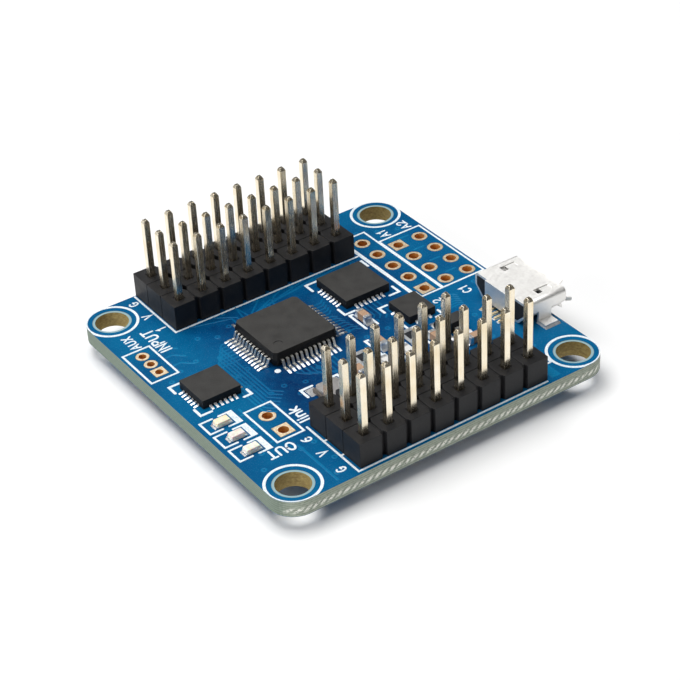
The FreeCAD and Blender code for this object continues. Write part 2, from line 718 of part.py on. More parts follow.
def usb_shell():
    """A folded sheet shell with flared lips, a rear flap, latch windows and soldered feet."""
    tube_rear = USB_REAR_X + USB_SHEET
    lip_start = USB_MOUTH_X - USB_LIP_LENGTH
    shell_top = PAD_TOP + USB_HEIGHT
    inner_radius = USB_CORNER_RADIUS - USB_SHEET
    outside = usb_prism(0, tube_rear, lip_start, USB_CORNER_RADIUS)
    inside = usb_prism(-USB_SHEET, tube_rear - 1, lip_start + 1, inner_radius)
    tube = outside.cut(inside)

    lips = usb_flare(0, USB_LIP_FLARE).cut(usb_flare(-USB_SHEET, USB_LIP_FLARE - USB_SHEET))
    notches = []
    for side_y in (-1, 1):
        for z in (PAD_TOP, shell_top):
            y = USB_CENTRE_Y + side_y * USB_WIDTH / 2
            low = (lip_start, y - USB_LIP_NOTCH, z - USB_LIP_NOTCH)
            high = (USB_MOUTH_X + 1, y + USB_LIP_NOTCH, z + USB_LIP_NOTCH)
            notches.append(box(low, high))
    lips = lips.cut(notches)

    flap_low = USB_CENTRE_Y - USB_FLAP_WIDTH / 2
    flap_high = USB_CENTRE_Y + USB_FLAP_WIDTH / 2
    flap = box((USB_REAR_X, flap_low, PAD_TOP + USB_FLAP_GAP), (tube_rear, flap_high, shell_top))
    fold = box((USB_REAR_X, flap_low, shell_top - USB_SHEET), (tube_rear + 1, flap_high, shell_top))

    feet = []
    wall = USB_WIDTH / 2
    inner_wall = wall - USB_SHEET
    toe = wall + USB_FOOT_REACH
    ankle = PAD_TOP + USB_SHEET
    knee = PAD_TOP + USB_BEVEL_HEIGHT + USB_SHEET
    for side_y in (-1, 1):
        profile = [(inner_wall, PAD_TOP), (toe, PAD_TOP), (toe, ankle), (wall, ankle)]
        profile += [(wall, knee), (inner_wall, knee)]
        outline = [(USB_CENTRE_Y + side_y * y, z) for y, z in profile]
        feet.append(end_prism(outline, USB_FOOT_X - USB_FOOT_LENGTH / 2, USB_FOOT_LENGTH))

    contact_space = USB_CONTACTS * USB_CONTACT_PITCH
    tail_centre = (tube_rear, USB_CENTRE_Y)
    tail_length = 2 * USB_BLOCK_DEPTH
    tail_window = centred_box(tail_centre, tail_length, contact_space, TOP, PAD_TOP + USB_SHEET)

    slots = [tail_window]
    latches = []
    slot_length, slot_width = USB_SLOT
    latch_length = slot_length - USB_LATCH_GAP
    latch_width = slot_width - 2 * USB_LATCH_SIDE_GAP
    latch_top = shell_top - USB_LATCH_SINK
    for side_y in (-1, 1):
        y = USB_CENTRE_Y + side_y * USB_SLOT_SPACING / 2
        slot_end = USB_SLOT_X + slot_length / 2
        slot_low = shell_top - 2 * USB_SHEET
        slots.append(centred_box((USB_SLOT_X, y), slot_length, slot_width, slot_low, shell_top + 1))
        latch_centre = (slot_end - latch_length / 2, y)
        latch_low = shell_top - USB_SHEET
        latches.append(centred_box(latch_centre, latch_length, latch_width, latch_low, latch_top))
    body = tube.fuse([lips, flap, fold] + feet).cut(slots)
    return body.fuse(latches).removeSplitter()


def usb_contact(y):
    """One contact: a soldered tail, a riser inside the block and a strip under the tongue."""
    t = USB_CONTACT_THICKNESS
    riser_x = USB_REAR_X + USB_SHEET + USB_BLOCK_DEPTH / 2
    tongue_end = USB_REAR_X + USB_SHEET + USB_BLOCK_DEPTH + USB_TONGUE[0]
    tongue_low = PAD_TOP + USB_TONGUE_BOTTOM
    outline = [
        (USB_TAIL_X, PAD_TOP),
        (riser_x + t, PAD_TOP),
        (riser_x + t, tongue_low - t),
        (tongue_end - t, tongue_low - t),
        (tongue_end - t, tongue_low),
        (riser_x, tongue_low),
        (riser_x, PAD_TOP + t),
        (USB_TAIL_X, PAD_TOP + t),
    ]
    return placed(side_prism(outline, USB_CONTACT_WIDTH), 0, y)


def make_usb_socket():
    middle = (USB_CONTACTS - 1) / 2
    contact_ys = [USB_CENTRE_Y + (index - middle) * USB_CONTACT_PITCH for index in range(USB_CONTACTS)]
    contacts = [usb_contact(y) for y in contact_ys]

    block_rear = USB_REAR_X + USB_SHEET
    block_front = block_rear + USB_BLOCK_DEPTH
    tongue_length, tongue_width, tongue_thickness = USB_TONGUE
    tongue_low = PAD_TOP + USB_TONGUE_BOTTOM
    block = usb_prism(-USB_SHEET, block_rear, block_front, USB_CORNER_RADIUS - USB_SHEET)
    tongue_centre = (block_front + tongue_length / 2, USB_CENTRE_Y)
    tongue_high = tongue_low + tongue_thickness
    tongue = centred_box(tongue_centre, tongue_length, tongue_width, tongue_low, tongue_high)
    insulator = block.fuse(tongue).cut(contacts).removeSplitter()

    pads = []
    tail_length = USB_REAR_X - USB_TAIL_X
    for y in contact_ys:
        centre = (USB_TAIL_X + tail_length / 2, y)
        pad_length = tail_length + 2 * USB_TAIL_PAD[0]
        pads.append(centred_box(centre, pad_length, USB_TAIL_PAD[1], TOP, PAD_TOP))
    toe = USB_WIDTH / 2 + USB_FOOT_REACH
    pad_end = toe + USB_FOOT_PAD_MARGIN[1]
    pad_start = USB_WIDTH / 2 - USB_SHEET
    profile = [(pad_start, TOP), (pad_end, TOP), (toe, PAD_TOP + USB_SHEET / 2), (toe, PAD_TOP)]
    profile += [(pad_start, PAD_TOP)]
    foot_pad_length = USB_FOOT_LENGTH + 2 * USB_FOOT_PAD_MARGIN[0]
    foot_pad_low = USB_FOOT_X - foot_pad_length / 2
    for side_y in (-1, 1):
        outline = [(USB_CENTRE_Y + side_y * y, z) for y, z in profile]
        pads.append(end_prism(outline, foot_pad_low, foot_pad_length))

    save("usb_shell", [usb_shell()])
    save("usb_insulator", [insulator])
    save("usb_contacts", contacts)
    save("usb_pads", pads)


# ---------------------------------------------------------------- the whole board
make_board()
make_hole_rings()
make_plated_holes()
make_headers()
make_microcontroller()
leadless_chip("motion_sensor", MOTION_SENSOR)
leadless_chip("usb_bridge", USB_BRIDGE)
leadless_chip("compass", COMPASS)
outline_package("regulator", REGULATOR_CENTRE, REGULATOR_BODY, (-1, 0, 1), (-1, 1))
make_crystal()
make_chip_parts()
make_status_lights()
make_usb_socket()
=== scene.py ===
import json
import math
import random

import bmesh
import bpy
from mathutils import Matrix, Vector


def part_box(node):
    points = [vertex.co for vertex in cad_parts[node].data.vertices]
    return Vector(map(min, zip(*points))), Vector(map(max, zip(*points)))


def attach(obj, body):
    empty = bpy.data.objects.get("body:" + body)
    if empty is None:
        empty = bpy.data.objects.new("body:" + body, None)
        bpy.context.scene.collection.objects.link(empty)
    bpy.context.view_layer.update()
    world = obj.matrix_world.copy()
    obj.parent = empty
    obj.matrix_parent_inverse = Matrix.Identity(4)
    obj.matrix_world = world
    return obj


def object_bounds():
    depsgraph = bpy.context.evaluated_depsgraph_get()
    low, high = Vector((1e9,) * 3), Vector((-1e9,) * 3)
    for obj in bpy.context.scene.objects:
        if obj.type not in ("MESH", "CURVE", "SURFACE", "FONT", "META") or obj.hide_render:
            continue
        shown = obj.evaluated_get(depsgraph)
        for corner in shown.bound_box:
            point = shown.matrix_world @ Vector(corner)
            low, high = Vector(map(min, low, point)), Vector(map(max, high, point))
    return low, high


# A servo controller board on a pale table. CAD nodes keep their shapes and get softened edges and
# procedural materials. The printed legend, the copper tracks under the solder mask, the tented
# vias and the table are made here, placed from the frame's nodes by the gaps and margins named
# below. Lengths below are millimetres unless a comment says otherwise; the scene is in metres.

MM = 0.001

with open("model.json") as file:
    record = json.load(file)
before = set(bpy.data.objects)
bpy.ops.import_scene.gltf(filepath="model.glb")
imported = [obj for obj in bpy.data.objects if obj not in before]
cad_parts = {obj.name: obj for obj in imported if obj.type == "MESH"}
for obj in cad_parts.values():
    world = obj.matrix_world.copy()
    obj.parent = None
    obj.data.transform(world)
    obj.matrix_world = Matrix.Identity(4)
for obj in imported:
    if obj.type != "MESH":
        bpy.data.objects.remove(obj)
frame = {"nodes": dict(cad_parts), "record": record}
cad_low, cad_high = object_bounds()
nodes = frame["nodes"]

BOARD_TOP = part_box("solder_mask_top")[1].z / MM
BOARD_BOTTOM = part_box("solder_mask_bottom")[0].z / MM
BOARD_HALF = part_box("board_laminate")[1].x / MM
bolt_pattern = next(mount for mount in frame["record"]["mounts"] if mount["kind"] == "bolt_pattern")
HOLE_OFFSET = bolt_pattern["dims"]["spacing_x_mm"] / 2
HOLE_RADIUS = bolt_pattern["dims"]["hole_r_mm"]

# thin relief: how far it sinks into the board, and how strokes that cross are kept apart
SUNK = 0.002
STROKE_STEP = 0.0006
STROKE_CYCLE = 12
NARROWEST_CROWN = 0.4
SHARPEST_MITRE = 0.4
END_SHARES = (0.99, 0.87, 0.5)
LOOP_SIDES = 24
WELD_DISTANCE = 0.0005

# printed legend
INK_RISE = 0.016
INK_SLOPE = 0.02
LINE = 0.22
DOUBLE_LINE_STEP = 0.20
CORNER_LINE = 0.28
LETTER_GAP = 0.30
WORD_HEIGHT = 1.05
MARK_HEIGHT = 0.86
LETTER_WEIGHT = 0.21
HEADER_MARGIN = 0.19
OUTPUT_MARGIN = 0.33
TICK_GAP = 0.05
DOT_RADIUS = 0.15
BRACKET_GAP = 0.27
BRACKET_REACH = 0.58
BRACKET_HOOK = 0.30
STATUS_LENSES = ("status_lens_amber", "status_lens_red", "status_lens_white")
STATUS_BOX_SHIFT = 0.24
STATUS_BOX_MARGIN = 0.84
STATUS_BOX_HALF = 0.91
STATUS_BOX_GAP = 0.34
STATUS_BAR = 0.50
ARROW_OUT = 2.60
ARROW_SIDE = 0.80

# printed boxes round the open pads: margins beyond the pads at -X, +X, -Y and +Y
PAD_BOX_MARGINS = {
    "auxiliary_row_hole_plating": (0.57, 0.58, 0.25, 0.85),
    "expansion_hole_plating": (0.36, 0.41, 0.35, 0.89),
    "link_hole_plating": (0.65, 0.58, 0.43, 0.81),
    "sensor_port_hole_plating": (0.85, 0.71, 0.55, 0.46),
}

# printed corners of the chips: which corner in X and Y, margin beyond the pads, arm length
CHIP_CORNERS = {
    "motion_sensor_pads": ((-1, 1, 0.15, 1.1), (-1, -1, 0.10, 1.1), (1, -1, 0.10, 0.8)),
    "usb_bridge_pads": (
        (-1, 1, 0.20, 1.2), (-1, -1, 0.10, 1.1), (1, -1, 0.10, 1.1), (1, 1, 0.40, 1.1)),
    "compass_pads": ((-1, 1, 0.30, 0.9), (1, 1, 0.30, 0.9), (1, -1, 0.15, 0.8), (-1, -1, 0.15, 0.8)),
    "crystal_pads": ((-1, 1, 0.25, 1.2), (1, 1, 0.25, 0.8)),
}

# printed dots: the node one stands by, its gap below the node's low corner in X and in Y
FIRST_PIN_DOTS = (
    ("microcontroller_body", 0.0, 0.40),
    ("crystal_pads", 0.15, 0.15),
)

# words and marks: text, the node it stands beside, its place from that node's low corner, turn
# and letter height
LABELS = (
    ("AUX", "input_signal_strip", -3.95, -0.22, 90, MARK_HEIGHT),
    ("INPUT", "input_signal_strip", -1.85, -2.18, 90, WORD_HEIGHT),
    ("1", "input_signal_strip", -0.55, 1.02, 90, MARK_HEIGHT),
    ("V", "input_power_strip", -0.55, 0.90, 90, MARK_HEIGHT),
    ("G", "input_ground_strip", -0.50, 0.98, 90, MARK_HEIGHT),
    ("OUT", "output_signal_strip", -2.58, 1.66, 180, WORD_HEIGHT),
    ("6", "output_signal_strip", -0.92, 0.76, 90, MARK_HEIGHT),
    ("V", "output_power_strip", -0.92, 0.91, 90, MARK_HEIGHT),
    ("G", "output_ground_strip", -0.92, 0.68, 90, MARK_HEIGHT),
    ("link", "link_hole_plating", 3.50, 0.62, 90, WORD_HEIGHT),
    ("A1", "expansion_hole_plating", 1.28, 10.40, 90, MARK_HEIGHT),
    ("A2", "expansion_hole_plating", 3.80, 10.40, 90, MARK_HEIGHT),
    ("C1", "usb_shell", 0.45, 9.20, 90, MARK_HEIGHT),
    ("2", "compass_pads", 5.20, 1.65, 90, MARK_HEIGHT),
)

# tracks and vias under the mask
TRACK_RISE = 0.010
TRACK_SLOPE = 0.04
TRACK = 0.20
WIDE_TRACK = 0.25
BUS_LINES = 7
BUS_START = 0.70
BUS_STEP = 0.36
BUS_TAIL = 0.85
BEND = 0.35
FAN_STEP = 0.10
STAIR_STEP = 0.30
SOCKET_LINES = 6
PAD_LINE_GAP = 0.12
AREA_HOLE_GAP = 3.10
AREA_HEADER_GAP = 2.20
AREA_EDGE_GAP = 0.50
AREA_CUT = 0.80
AREA_HEIGHT = 4.20
VIA_RADIUS = 0.20
VIA_GAP = 0.35
VIA_EDGE_GAP = 0.90
VIA_HOLE_GAP = 3.0
VIA_SPACING = 1.3
VIA_ATTEMPTS = 260
VIA_SEED = 11
WIDEST_KEEP_OUT = 14.0
SPREAD_NODES = ("capacitor_cores", "resistor_cores", "status_light_terminals")

# materials: the spans of values that a noise texture mostly takes, from wide to narrow, and the
# spans over which a wall turns into a top face
NOISE_SPAN = (0.3, 0.7)
NARROW_SPAN = (0.35, 0.65)
FACING_SPAN = (0.45, 0.85)

# solder mask: rates are features per millimetre and depths millimetres
MASK_CLOUD = 0.16
MASK_MOTTLE = 1.6
MASK_GRAIN = 9.0
MASK_WEAVE = 0.35
MASK_WEAVE_WANDER = 0.4
MASK_WEAVE_DEPTH = 0.002
MASK_GRAIN_DEPTH = 0.0012
MASK_MOTTLE_SHARE = 0.3
MASK_MOTTLE_SPAN = (0.36, 0.64)
MASK_ROUGHNESS = (0.20, 0.30)
MASK_SPECULAR = 0.12
# painted shade: the mask is darkest in the middle of the board, where the headers and pins shade it,
# and lightens over this span of shares of the board's half width
MIDDLE_SHADE_SPAN = (0.42, 0.70)
MIDDLE_SHADE_SHARE = 0.55
MASK_BLUES = ((0.001, 0.024, 0.095), (0.001, 0.078, 0.212), (0.002, 0.122, 0.276))
TRACK_BLUES = ((0.001, 0.075, 0.200), (0.003, 0.125, 0.290), (0.005, 0.180, 0.360))

# cut laminate: rates along X, Y and Z, the band of broken strands above the underside, and the
# tint of the bare laminate round each hole
PLY_RATE = (0.05, 0.05, 1.35)
PLY_WANDER = 1.2
CHIP_RATE = (3.0, 3.0, 5.5)
CHIP_SHARE = 0.8
CHIP_DEPTH = 0.05
STRAND_RATE = (0.80, 0.0, -0.85)
STRAND_WANDER = 1.6
STRAND_SPAN = (0.25, 0.60)
STRAND_CHIP_SPAN = (0.36, 0.50)
STRAND_HEIGHT = 0.62
STRAND_FADE = (0.08, 0.38)
STRAND_WHITE = (0.95, 0.95, 0.88)
# painted shade and light: the X-facing edges get darker greens and the Y-facing edges lighter greens
X_EDGE_SHADE_GREENS = ((0.12, 0.165, 0.125), (0.23, 0.285, 0.23))
Y_EDGE_LIGHT_GREENS = ((0.22, 0.26, 0.20), (0.46, 0.51, 0.42))
HOLE_AMBERS = ((0.26, 0.17, 0.05), (0.56, 0.45, 0.18))
BARE_RING = (0.27, 0.42, 0.45)
BARE_RING_FADE = (0.15, 0.35)
CUT_ROUGHNESS = (0.5, 0.85)

# moulded plastic, plated metal and fired ceramic
PLASTIC_CLOUD = 0.9
PLASTIC_SPECULAR = 0.28
PLASTIC_SATIN = 0.07
DRAWN_RATE = (7.0, 7.0, 0.35)
DIPPED_RATE = 5.0
TARNISH_RATE = 0.7
PLATED_SPAN = (0.34, 0.62)
PLATED_SATIN = (0.06, 0.10)
CERAMIC_SPECK = 11.0
CERAMIC_DEPTH = 0.004

# flash gold
GOLD_RATE = 5.0
GOLD_PAD = ((0.92, 0.68, 0.42), (0.98, 0.86, 0.66))
# painted shade: the hole walls get a darker orange than the pads, for the shade inside the holes
GOLD_WALL_SHADE = ((0.62, 0.25, 0.05), (0.84, 0.42, 0.11))
GOLD_METALLIC = (0.25, 1.0)
GOLD_ROUGHNESS = (0.36, 0.52)
GOLD_DEPTH = 0.0012

# chip resistors
RESISTOR_SPECK = 14.0
RESISTOR_GLAZE = ((0.012, 0.014, 0.018), (0.03, 0.033, 0.04))
RESISTOR_CERAMIC = ((0.62, 0.61, 0.58), (0.80, 0.79, 0.76))
GLAZE_THICKNESS = 0.02
GLAZE_ROUGHNESS = (0.7, 0.25)
RESISTOR_DEPTH = 0.003

# lenses, ink and table
LENS_MOTTLE = 2.2
LENS_RIPPLE = 6.0
LENS_RIPPLE_DEPTH = 0.004
LENS_ROUGHNESS = 0.16
INK_COVER = 6.5
INK_SPAN = (0.3, 0.6)
INK_WHITES = ((0.52, 0.66, 0.76), (0.90, 0.93, 0.94))
INK_ROUGHNESS = 0.55
INK_DEPTH = 0.004
TABLE_MOTTLE = 0.02
TABLE_GREYS = ((0.90, 0.90, 0.90), (0.93, 0.93, 0.93))
TABLE_ROUGHNESS = 0.7

# softened edges
SHARP_ANGLE = 28
BEVEL_SEGMENTS = 2

# table, light and camera; lengths here are metres and angles degrees
TABLE_HALF = 1.2
WORLD_STRENGTH = 0.09
CAMERA_AZIMUTH = -33.27
CAMERA_ELEVATION = 34.90
CAMERA_DISTANCE = 0.1811
CAMERA_ROLL = -3.095
CAMERA_CLIP = (0.005, 10.0)
LENS = 104.49
SENSOR_WIDTH = 36.0
AIM = Vector((-0.219, -0.613, BOARD_TOP)) * MM


# ---------------------------------------------------------------- material building
class Recipe:
    """A node material under construction; its texture space is the row frame in millimetres."""

    def __init__(self, name):
        self.material = bpy.data.materials.new(name)
        self.material.use_nodes = True
        self.tree = self.material.node_tree
        self.shader = self.tree.nodes["Principled BSDF"]
        self.place = self.add("ShaderNodeTexCoord").outputs["Object"]

    def add(self, kind, **settings):
        node = self.tree.nodes.new(kind)
        for key, value in settings.items():
            setattr(node, key, value)
        return node

    def feed(self, socket, value):
        if isinstance(value, bpy.types.NodeSocket):
            self.tree.links.new(value, socket)
        else:
            socket.default_value = value

    def scaled(self, x, y=None, z=None):
        """The row frame's place in units of 1/x, 1/y and 1/z millimetres."""
        node = self.add("ShaderNodeMapping")
        self.feed(node.inputs["Vector"], self.place)
        y = x if y is None else y
        z = x if z is None else z
        node.inputs["Scale"].default_value = (x / MM, y / MM, z / MM)
        return node.outputs["Vector"]

    def noise(self, vector, detail=3.0, roughness=0.55):
        node = self.add("ShaderNodeTexNoise")
        self.feed(node.inputs["Vector"], vector)
        node.inputs["Scale"].default_value = 1.0
        node.inputs["Detail"].default_value = detail
        node.inputs["Roughness"].default_value = roughness
        return node.outputs["Fac"]

    def waves(self, vector, direction, distortion):
        node = self.add("ShaderNodeTexWave", bands_direction=direction)
        self.feed(node.inputs["Vector"], vector)
        node.inputs["Scale"].default_value = 1.0
        node.inputs["Distortion"].default_value = distortion
        node.inputs["Detail"].default_value = 2.0
        return node.outputs["Fac"]

    def ramp(self, value, stops):
        node = self.add("ShaderNodeValToRGB")
        self.feed(node.inputs["Fac"], value)
        elements = node.color_ramp.elements
        while len(elements) < len(stops):
            elements.new(0.5)
        for element, (position, colour) in zip(elements, stops):
            element.position = position
            element.color = (*colour, 1.0)
        return node.outputs["Color"]

    def spread(self, value, colours, span=NOISE_SPAN):
        """A ramp from one colour to another over a span of values."""
        return self.ramp(value, list(zip(span, colours)))

    def level(self, value, low, high, out_low=0.0, out_high=1.0):
        node = self.add("ShaderNodeMapRange")
        self.feed(node.inputs["Value"], value)
        node.inputs["From Min"].default_value = low
        node.inputs["From Max"].default_value = high
        node.inputs["To Min"].default_value = out_low
        node.inputs["To Max"].default_value = out_high
        return node.outputs["Result"]

    def math(self, operation, a, b=0.0):
        node = self.add("ShaderNodeMath", operation=operation)
        self.feed(node.inputs[0], a)
        self.feed(node.inputs[1], b)
        return node.outputs["Value"]

    def blend(self, factor, a, b):
        node = self.add("ShaderNodeMix", data_type="RGBA")
        self.feed(node.inputs["Factor"], factor)
        colour_inputs = [s for s in node.inputs if s.type == "RGBA"]
        for socket, value in zip(colour_inputs, (a, b)):
            self.feed(socket, value if isinstance(value, bpy.types.NodeSocket) else (*value, 1.0))
        return [s for s in node.outputs if s.type == "RGBA"][0]

    def axis(self, index):
        """One coordinate of the place, in millimetres."""
        node = self.add("ShaderNodeSeparateXYZ")
        self.feed(node.inputs["Vector"], self.scaled(1.0))
        return node.outputs[index]

    def distance(self, index, centre=0.0):
        """How far the place is along one axis, either way, from plus or minus a centre."""
        return self.math("SUBTRACT", self.math("ABSOLUTE", self.axis(index)), centre)

    def mixed(self, a, b, share):
        """A weighted sum of two values; share is the second one's weight."""
        rest = self.math("MULTIPLY", a, 1.0 - share)
        return self.math("ADD", rest, self.math("MULTIPLY", b, share))

    def facing(self, index):
        """How far the surface faces along one axis, either way: 0 for edge on, 1 for square on."""
        split = self.add("ShaderNodeSeparateXYZ")
        self.feed(split.inputs["Vector"], self.add("ShaderNodeNewGeometry").outputs["True Normal"])
        return self.level(self.math("ABSOLUTE", split.outputs[index]), *FACING_SPAN)

    def bump(self, height, distance, strength=1.0, after=None):
        node = self.add("ShaderNodeBump")
        self.feed(node.inputs["Height"], height)
        node.inputs["Distance"].default_value = distance * MM
        node.inputs["Strength"].default_value = strength
        if after is not None:
            self.feed(node.inputs["Normal"], after)
        return node.outputs["Normal"]

    def finish(self, colour, roughness, normal=None, **constants):
        self.feed(self.shader.inputs["Base Color"], colour)
        self.feed(self.shader.inputs["Roughness"], roughness)
        if normal is not None:
            self.feed(self.shader.inputs["Normal"], normal)
        for name, value in constants.items():
            self.shader.inputs[name.replace("_", " ")].default_value = value
        return self.material


def solder_mask(name, deep, middle, light):
    """Blue lacquer: darker in the middle of the board and lighter towards its border, a painted
    shade of the headers and pins, with the weave of the glass cloth just showing and a soft gloss."""
    recipe = Recipe(name)
    cloud = recipe.noise(recipe.scaled(MASK_CLOUD), detail=2.0)
    fine = recipe.noise(recipe.scaled(MASK_MOTTLE), detail=3.0)
    mottle = recipe.level(recipe.mixed(cloud, fine, MASK_MOTTLE_SHARE), *MASK_MOTTLE_SPAN)
    # painted shade: copper is 0 in the middle of the board and 1 near its border, a shade of the
    # headers and pins painted into the mask's colour
    outward = recipe.math("MAXIMUM", recipe.distance(0), recipe.distance(1))
    copper = recipe.level(outward, *(share * BOARD_HALF for share in MIDDLE_SHADE_SPAN))
    stops = [(0.0, deep), (0.5, middle), (1.0, light)]
    colour = recipe.ramp(recipe.mixed(mottle, copper, MIDDLE_SHADE_SHARE), stops)
    weave_x = recipe.waves(recipe.scaled(MASK_WEAVE), "X", MASK_WEAVE_WANDER)
    weave_y = recipe.waves(recipe.scaled(MASK_WEAVE), "Y", MASK_WEAVE_WANDER)
    weave = recipe.math("MULTIPLY", weave_x, weave_y)
    grain = recipe.noise(recipe.scaled(MASK_GRAIN), detail=4.0)
    normal = recipe.bump(weave, MASK_WEAVE_DEPTH, strength=0.4)
    normal = recipe.bump(grain, MASK_GRAIN_DEPTH, strength=0.5, after=normal)
    roughness = recipe.level(grain, *NOISE_SPAN, *MASK_ROUGHNESS)
    return recipe.finish(colour, roughness, normal, Specular_IOR_Level=MASK_SPECULAR)


def laminate():
    """Cut glass-cloth laminate. The Y edges were broken off and show pale broken strands, the X
    edges were cut with a router; the X edges are painted darker and the Y edges lighter, a painted
    shade and a painted light. The hole walls are amber and the bare ring round each hole is pale."""
    recipe = Recipe("laminate_cut")
    plies = recipe.waves(recipe.scaled(*PLY_RATE), "Z", PLY_WANDER)
    chips = recipe.noise(recipe.scaled(*CHIP_RATE), detail=4.0, roughness=0.7)
    tone = recipe.mixed(plies, chips, CHIP_SHARE)
    # painted shade and light: darker greens on the X edges, lighter on the Y edges, chosen by facing
    # below
    x_edge_shade = recipe.spread(tone, X_EDGE_SHADE_GREENS)
    y_edge_light = recipe.spread(tone, Y_EDGE_LIGHT_GREENS)

    strands = recipe.waves(recipe.scaled(*STRAND_RATE), "DIAGONAL", STRAND_WANDER)
    whole = recipe.level(strands, *STRAND_SPAN)
    broken = recipe.math("MULTIPLY", whole, recipe.level(chips, *STRAND_CHIP_SPAN))
    off_band = recipe.math("ABSOLUTE", recipe.math("SUBTRACT", recipe.axis(2), STRAND_HEIGHT))
    lower_band = recipe.level(off_band, *STRAND_FADE, 1.0, 0.0)
    y_edge_light = recipe.blend(recipe.math("MULTIPLY", broken, lower_band), y_edge_light, STRAND_WHITE)
    edge = recipe.blend(recipe.facing(1), x_edge_shade, y_edge_light)

    square_x = recipe.math("POWER", recipe.distance(0, HOLE_OFFSET), 2.0)
    square_y = recipe.math("POWER", recipe.distance(1, HOLE_OFFSET), 2.0)
    from_hole = recipe.math("SQRT", recipe.math("ADD", square_x, square_y))
    fade_start, fade_end = (HOLE_RADIUS + reach for reach in BARE_RING_FADE)
    in_hole = recipe.level(from_hole, fade_start, fade_end, 1.0, 0.0)
    hole = recipe.blend(recipe.facing(2), recipe.spread(chips, HOLE_AMBERS), BARE_RING)
    colour = recipe.blend(in_hole, edge, hole)
    normal = recipe.bump(chips, CHIP_DEPTH, strength=0.7)
    return recipe.finish(colour, recipe.level(chips, *NOISE_SPAN, *CUT_ROUGHNESS), normal)


def moulded_plastic(name, low, high, roughness, grain_size, grain_depth, side=None):
    """Black moulding compound or nylon with a fine grain and slight cloudiness. The sides may
    be given a darker colour than the etched top face, a painted shade."""
    recipe = Recipe(name)
    cloud = recipe.noise(recipe.scaled(PLASTIC_CLOUD), detail=4.0)
    grain = recipe.noise(recipe.scaled(1.0 / grain_size), detail=3.0, roughness=0.6)
    tone = recipe.mixed(cloud, grain, 0.5)
    colour = recipe.ramp(recipe.level(tone, *NARROW_SPAN), [(0.0, low), (1.0, high)])
    # painted shade: the sides take the darker colour, the top face keeps the grain colours
    if side is not None:
        colour = recipe.blend(recipe.facing(2), side, colour)
    normal = recipe.bump(grain, grain_depth, strength=0.8)
    satin = recipe.level(cloud, *NOISE_SPAN, roughness - PLASTIC_SATIN, roughness + PLASTIC_SATIN)
    return recipe.finish(colour, satin, normal, Specular_IOR_Level=PLASTIC_SPECULAR)


def plated_metal(name, pale, dark, roughness, streak, wobble=0.0012):
    """A thin bright plating, streaked along Z or evenly mottled."""
    recipe = Recipe(name)
    along = recipe.scaled(*DRAWN_RATE) if streak else recipe.scaled(DIPPED_RATE)
    marks = recipe.noise(along, detail=4.0, roughness=0.65)
    tarnish = recipe.noise(recipe.scaled(TARNISH_RATE), detail=2.0)
    tone = recipe.mixed(marks, tarnish, 0.5)
    colour = recipe.ramp(recipe.level(tone, *PLATED_SPAN), [(0.0, dark), (1.0, pale)])
    normal = recipe.bump(marks, wobble, strength=0.6)
    smooth, worn = PLATED_SATIN
    finish = recipe.level(marks, *NOISE_SPAN, roughness - smooth, roughness + worn)
    return recipe.finish(colour, finish, normal, Metallic=1.0)


def gold_flash():
    """Flash gold over copper: pale on the pads and a darker orange down the hole walls, a painted
    shade inside the holes.
    """
    recipe = Recipe("gold_pads")
    mottle = recipe.noise(recipe.scaled(GOLD_RATE), detail=4.0, roughness=0.65)
    pad = recipe.spread(mottle, GOLD_PAD, NARROW_SPAN)
    # painted shade: the darker wall colour stands for the shade inside the holes
    wall_shade = recipe.spread(mottle, GOLD_WALL_SHADE, NARROW_SPAN)
    flat = recipe.facing(2)
    colour = recipe.blend(flat, wall_shade, pad)
    recipe.feed(recipe.shader.inputs["Metallic"], recipe.level(flat, 0.0, 1.0, *GOLD_METALLIC))
    roughness = recipe.level(mottle, *NOISE_SPAN, *GOLD_ROUGHNESS)
    return recipe.finish(colour, roughness, recipe.bump(mottle, GOLD_DEPTH, strength=0.6))


def fired_ceramic(name, low, high, roughness):
    recipe = Recipe(name)
    speck = recipe.noise(recipe.scaled(CERAMIC_SPECK), detail=5.0, roughness=0.7)
    colour = recipe.ramp(recipe.level(speck, *NARROW_SPAN), [(0.0, low), (1.0, high)])
    return recipe.finish(colour, roughness, recipe.bump(speck, CERAMIC_DEPTH, strength=0.5))


def resistor_body(glaze_height):
    """White ceramic sides under a dark glassy coat on the top face."""
    recipe = Recipe("resistor_core")
    speck = recipe.noise(recipe.scaled(RESISTOR_SPECK), detail=4.0)
    glaze = recipe.spread(speck, RESISTOR_GLAZE)
    ceramic = recipe.spread(speck, RESISTOR_CERAMIC)
    coated = recipe.level(recipe.axis(2), glaze_height - GLAZE_THICKNESS, glaze_height)
    colour = recipe.blend(coated, ceramic, glaze)
    roughness = recipe.level(coated, 0.0, 1.0, *GLAZE_ROUGHNESS)
    return recipe.finish(colour, roughness, recipe.bump(speck, RESISTOR_DEPTH, strength=0.5))


def cast_resin(name, edge_tint, middle_tint, glow):
    """A clear lens moulded over a light chip: milky, glossy, mottled between two tints."""
    recipe = Recipe(name)
    mottle = recipe.noise(recipe.scaled(LENS_MOTTLE), detail=2.0)
    tints = [(0.0, edge_tint), (1.0, middle_tint)]
    colour = recipe.ramp(recipe.level(mottle, *NARROW_SPAN), tints)
    ripple = recipe.noise(recipe.scaled(LENS_RIPPLE))
    normal = recipe.bump(ripple, LENS_RIPPLE_DEPTH, strength=0.5)
    return recipe.finish(colour, LENS_ROUGHNESS, normal, Subsurface_Weight=glow,
                         Subsurface_Scale=0.0003, Coat_Weight=0.5, Coat_Roughness=0.08)


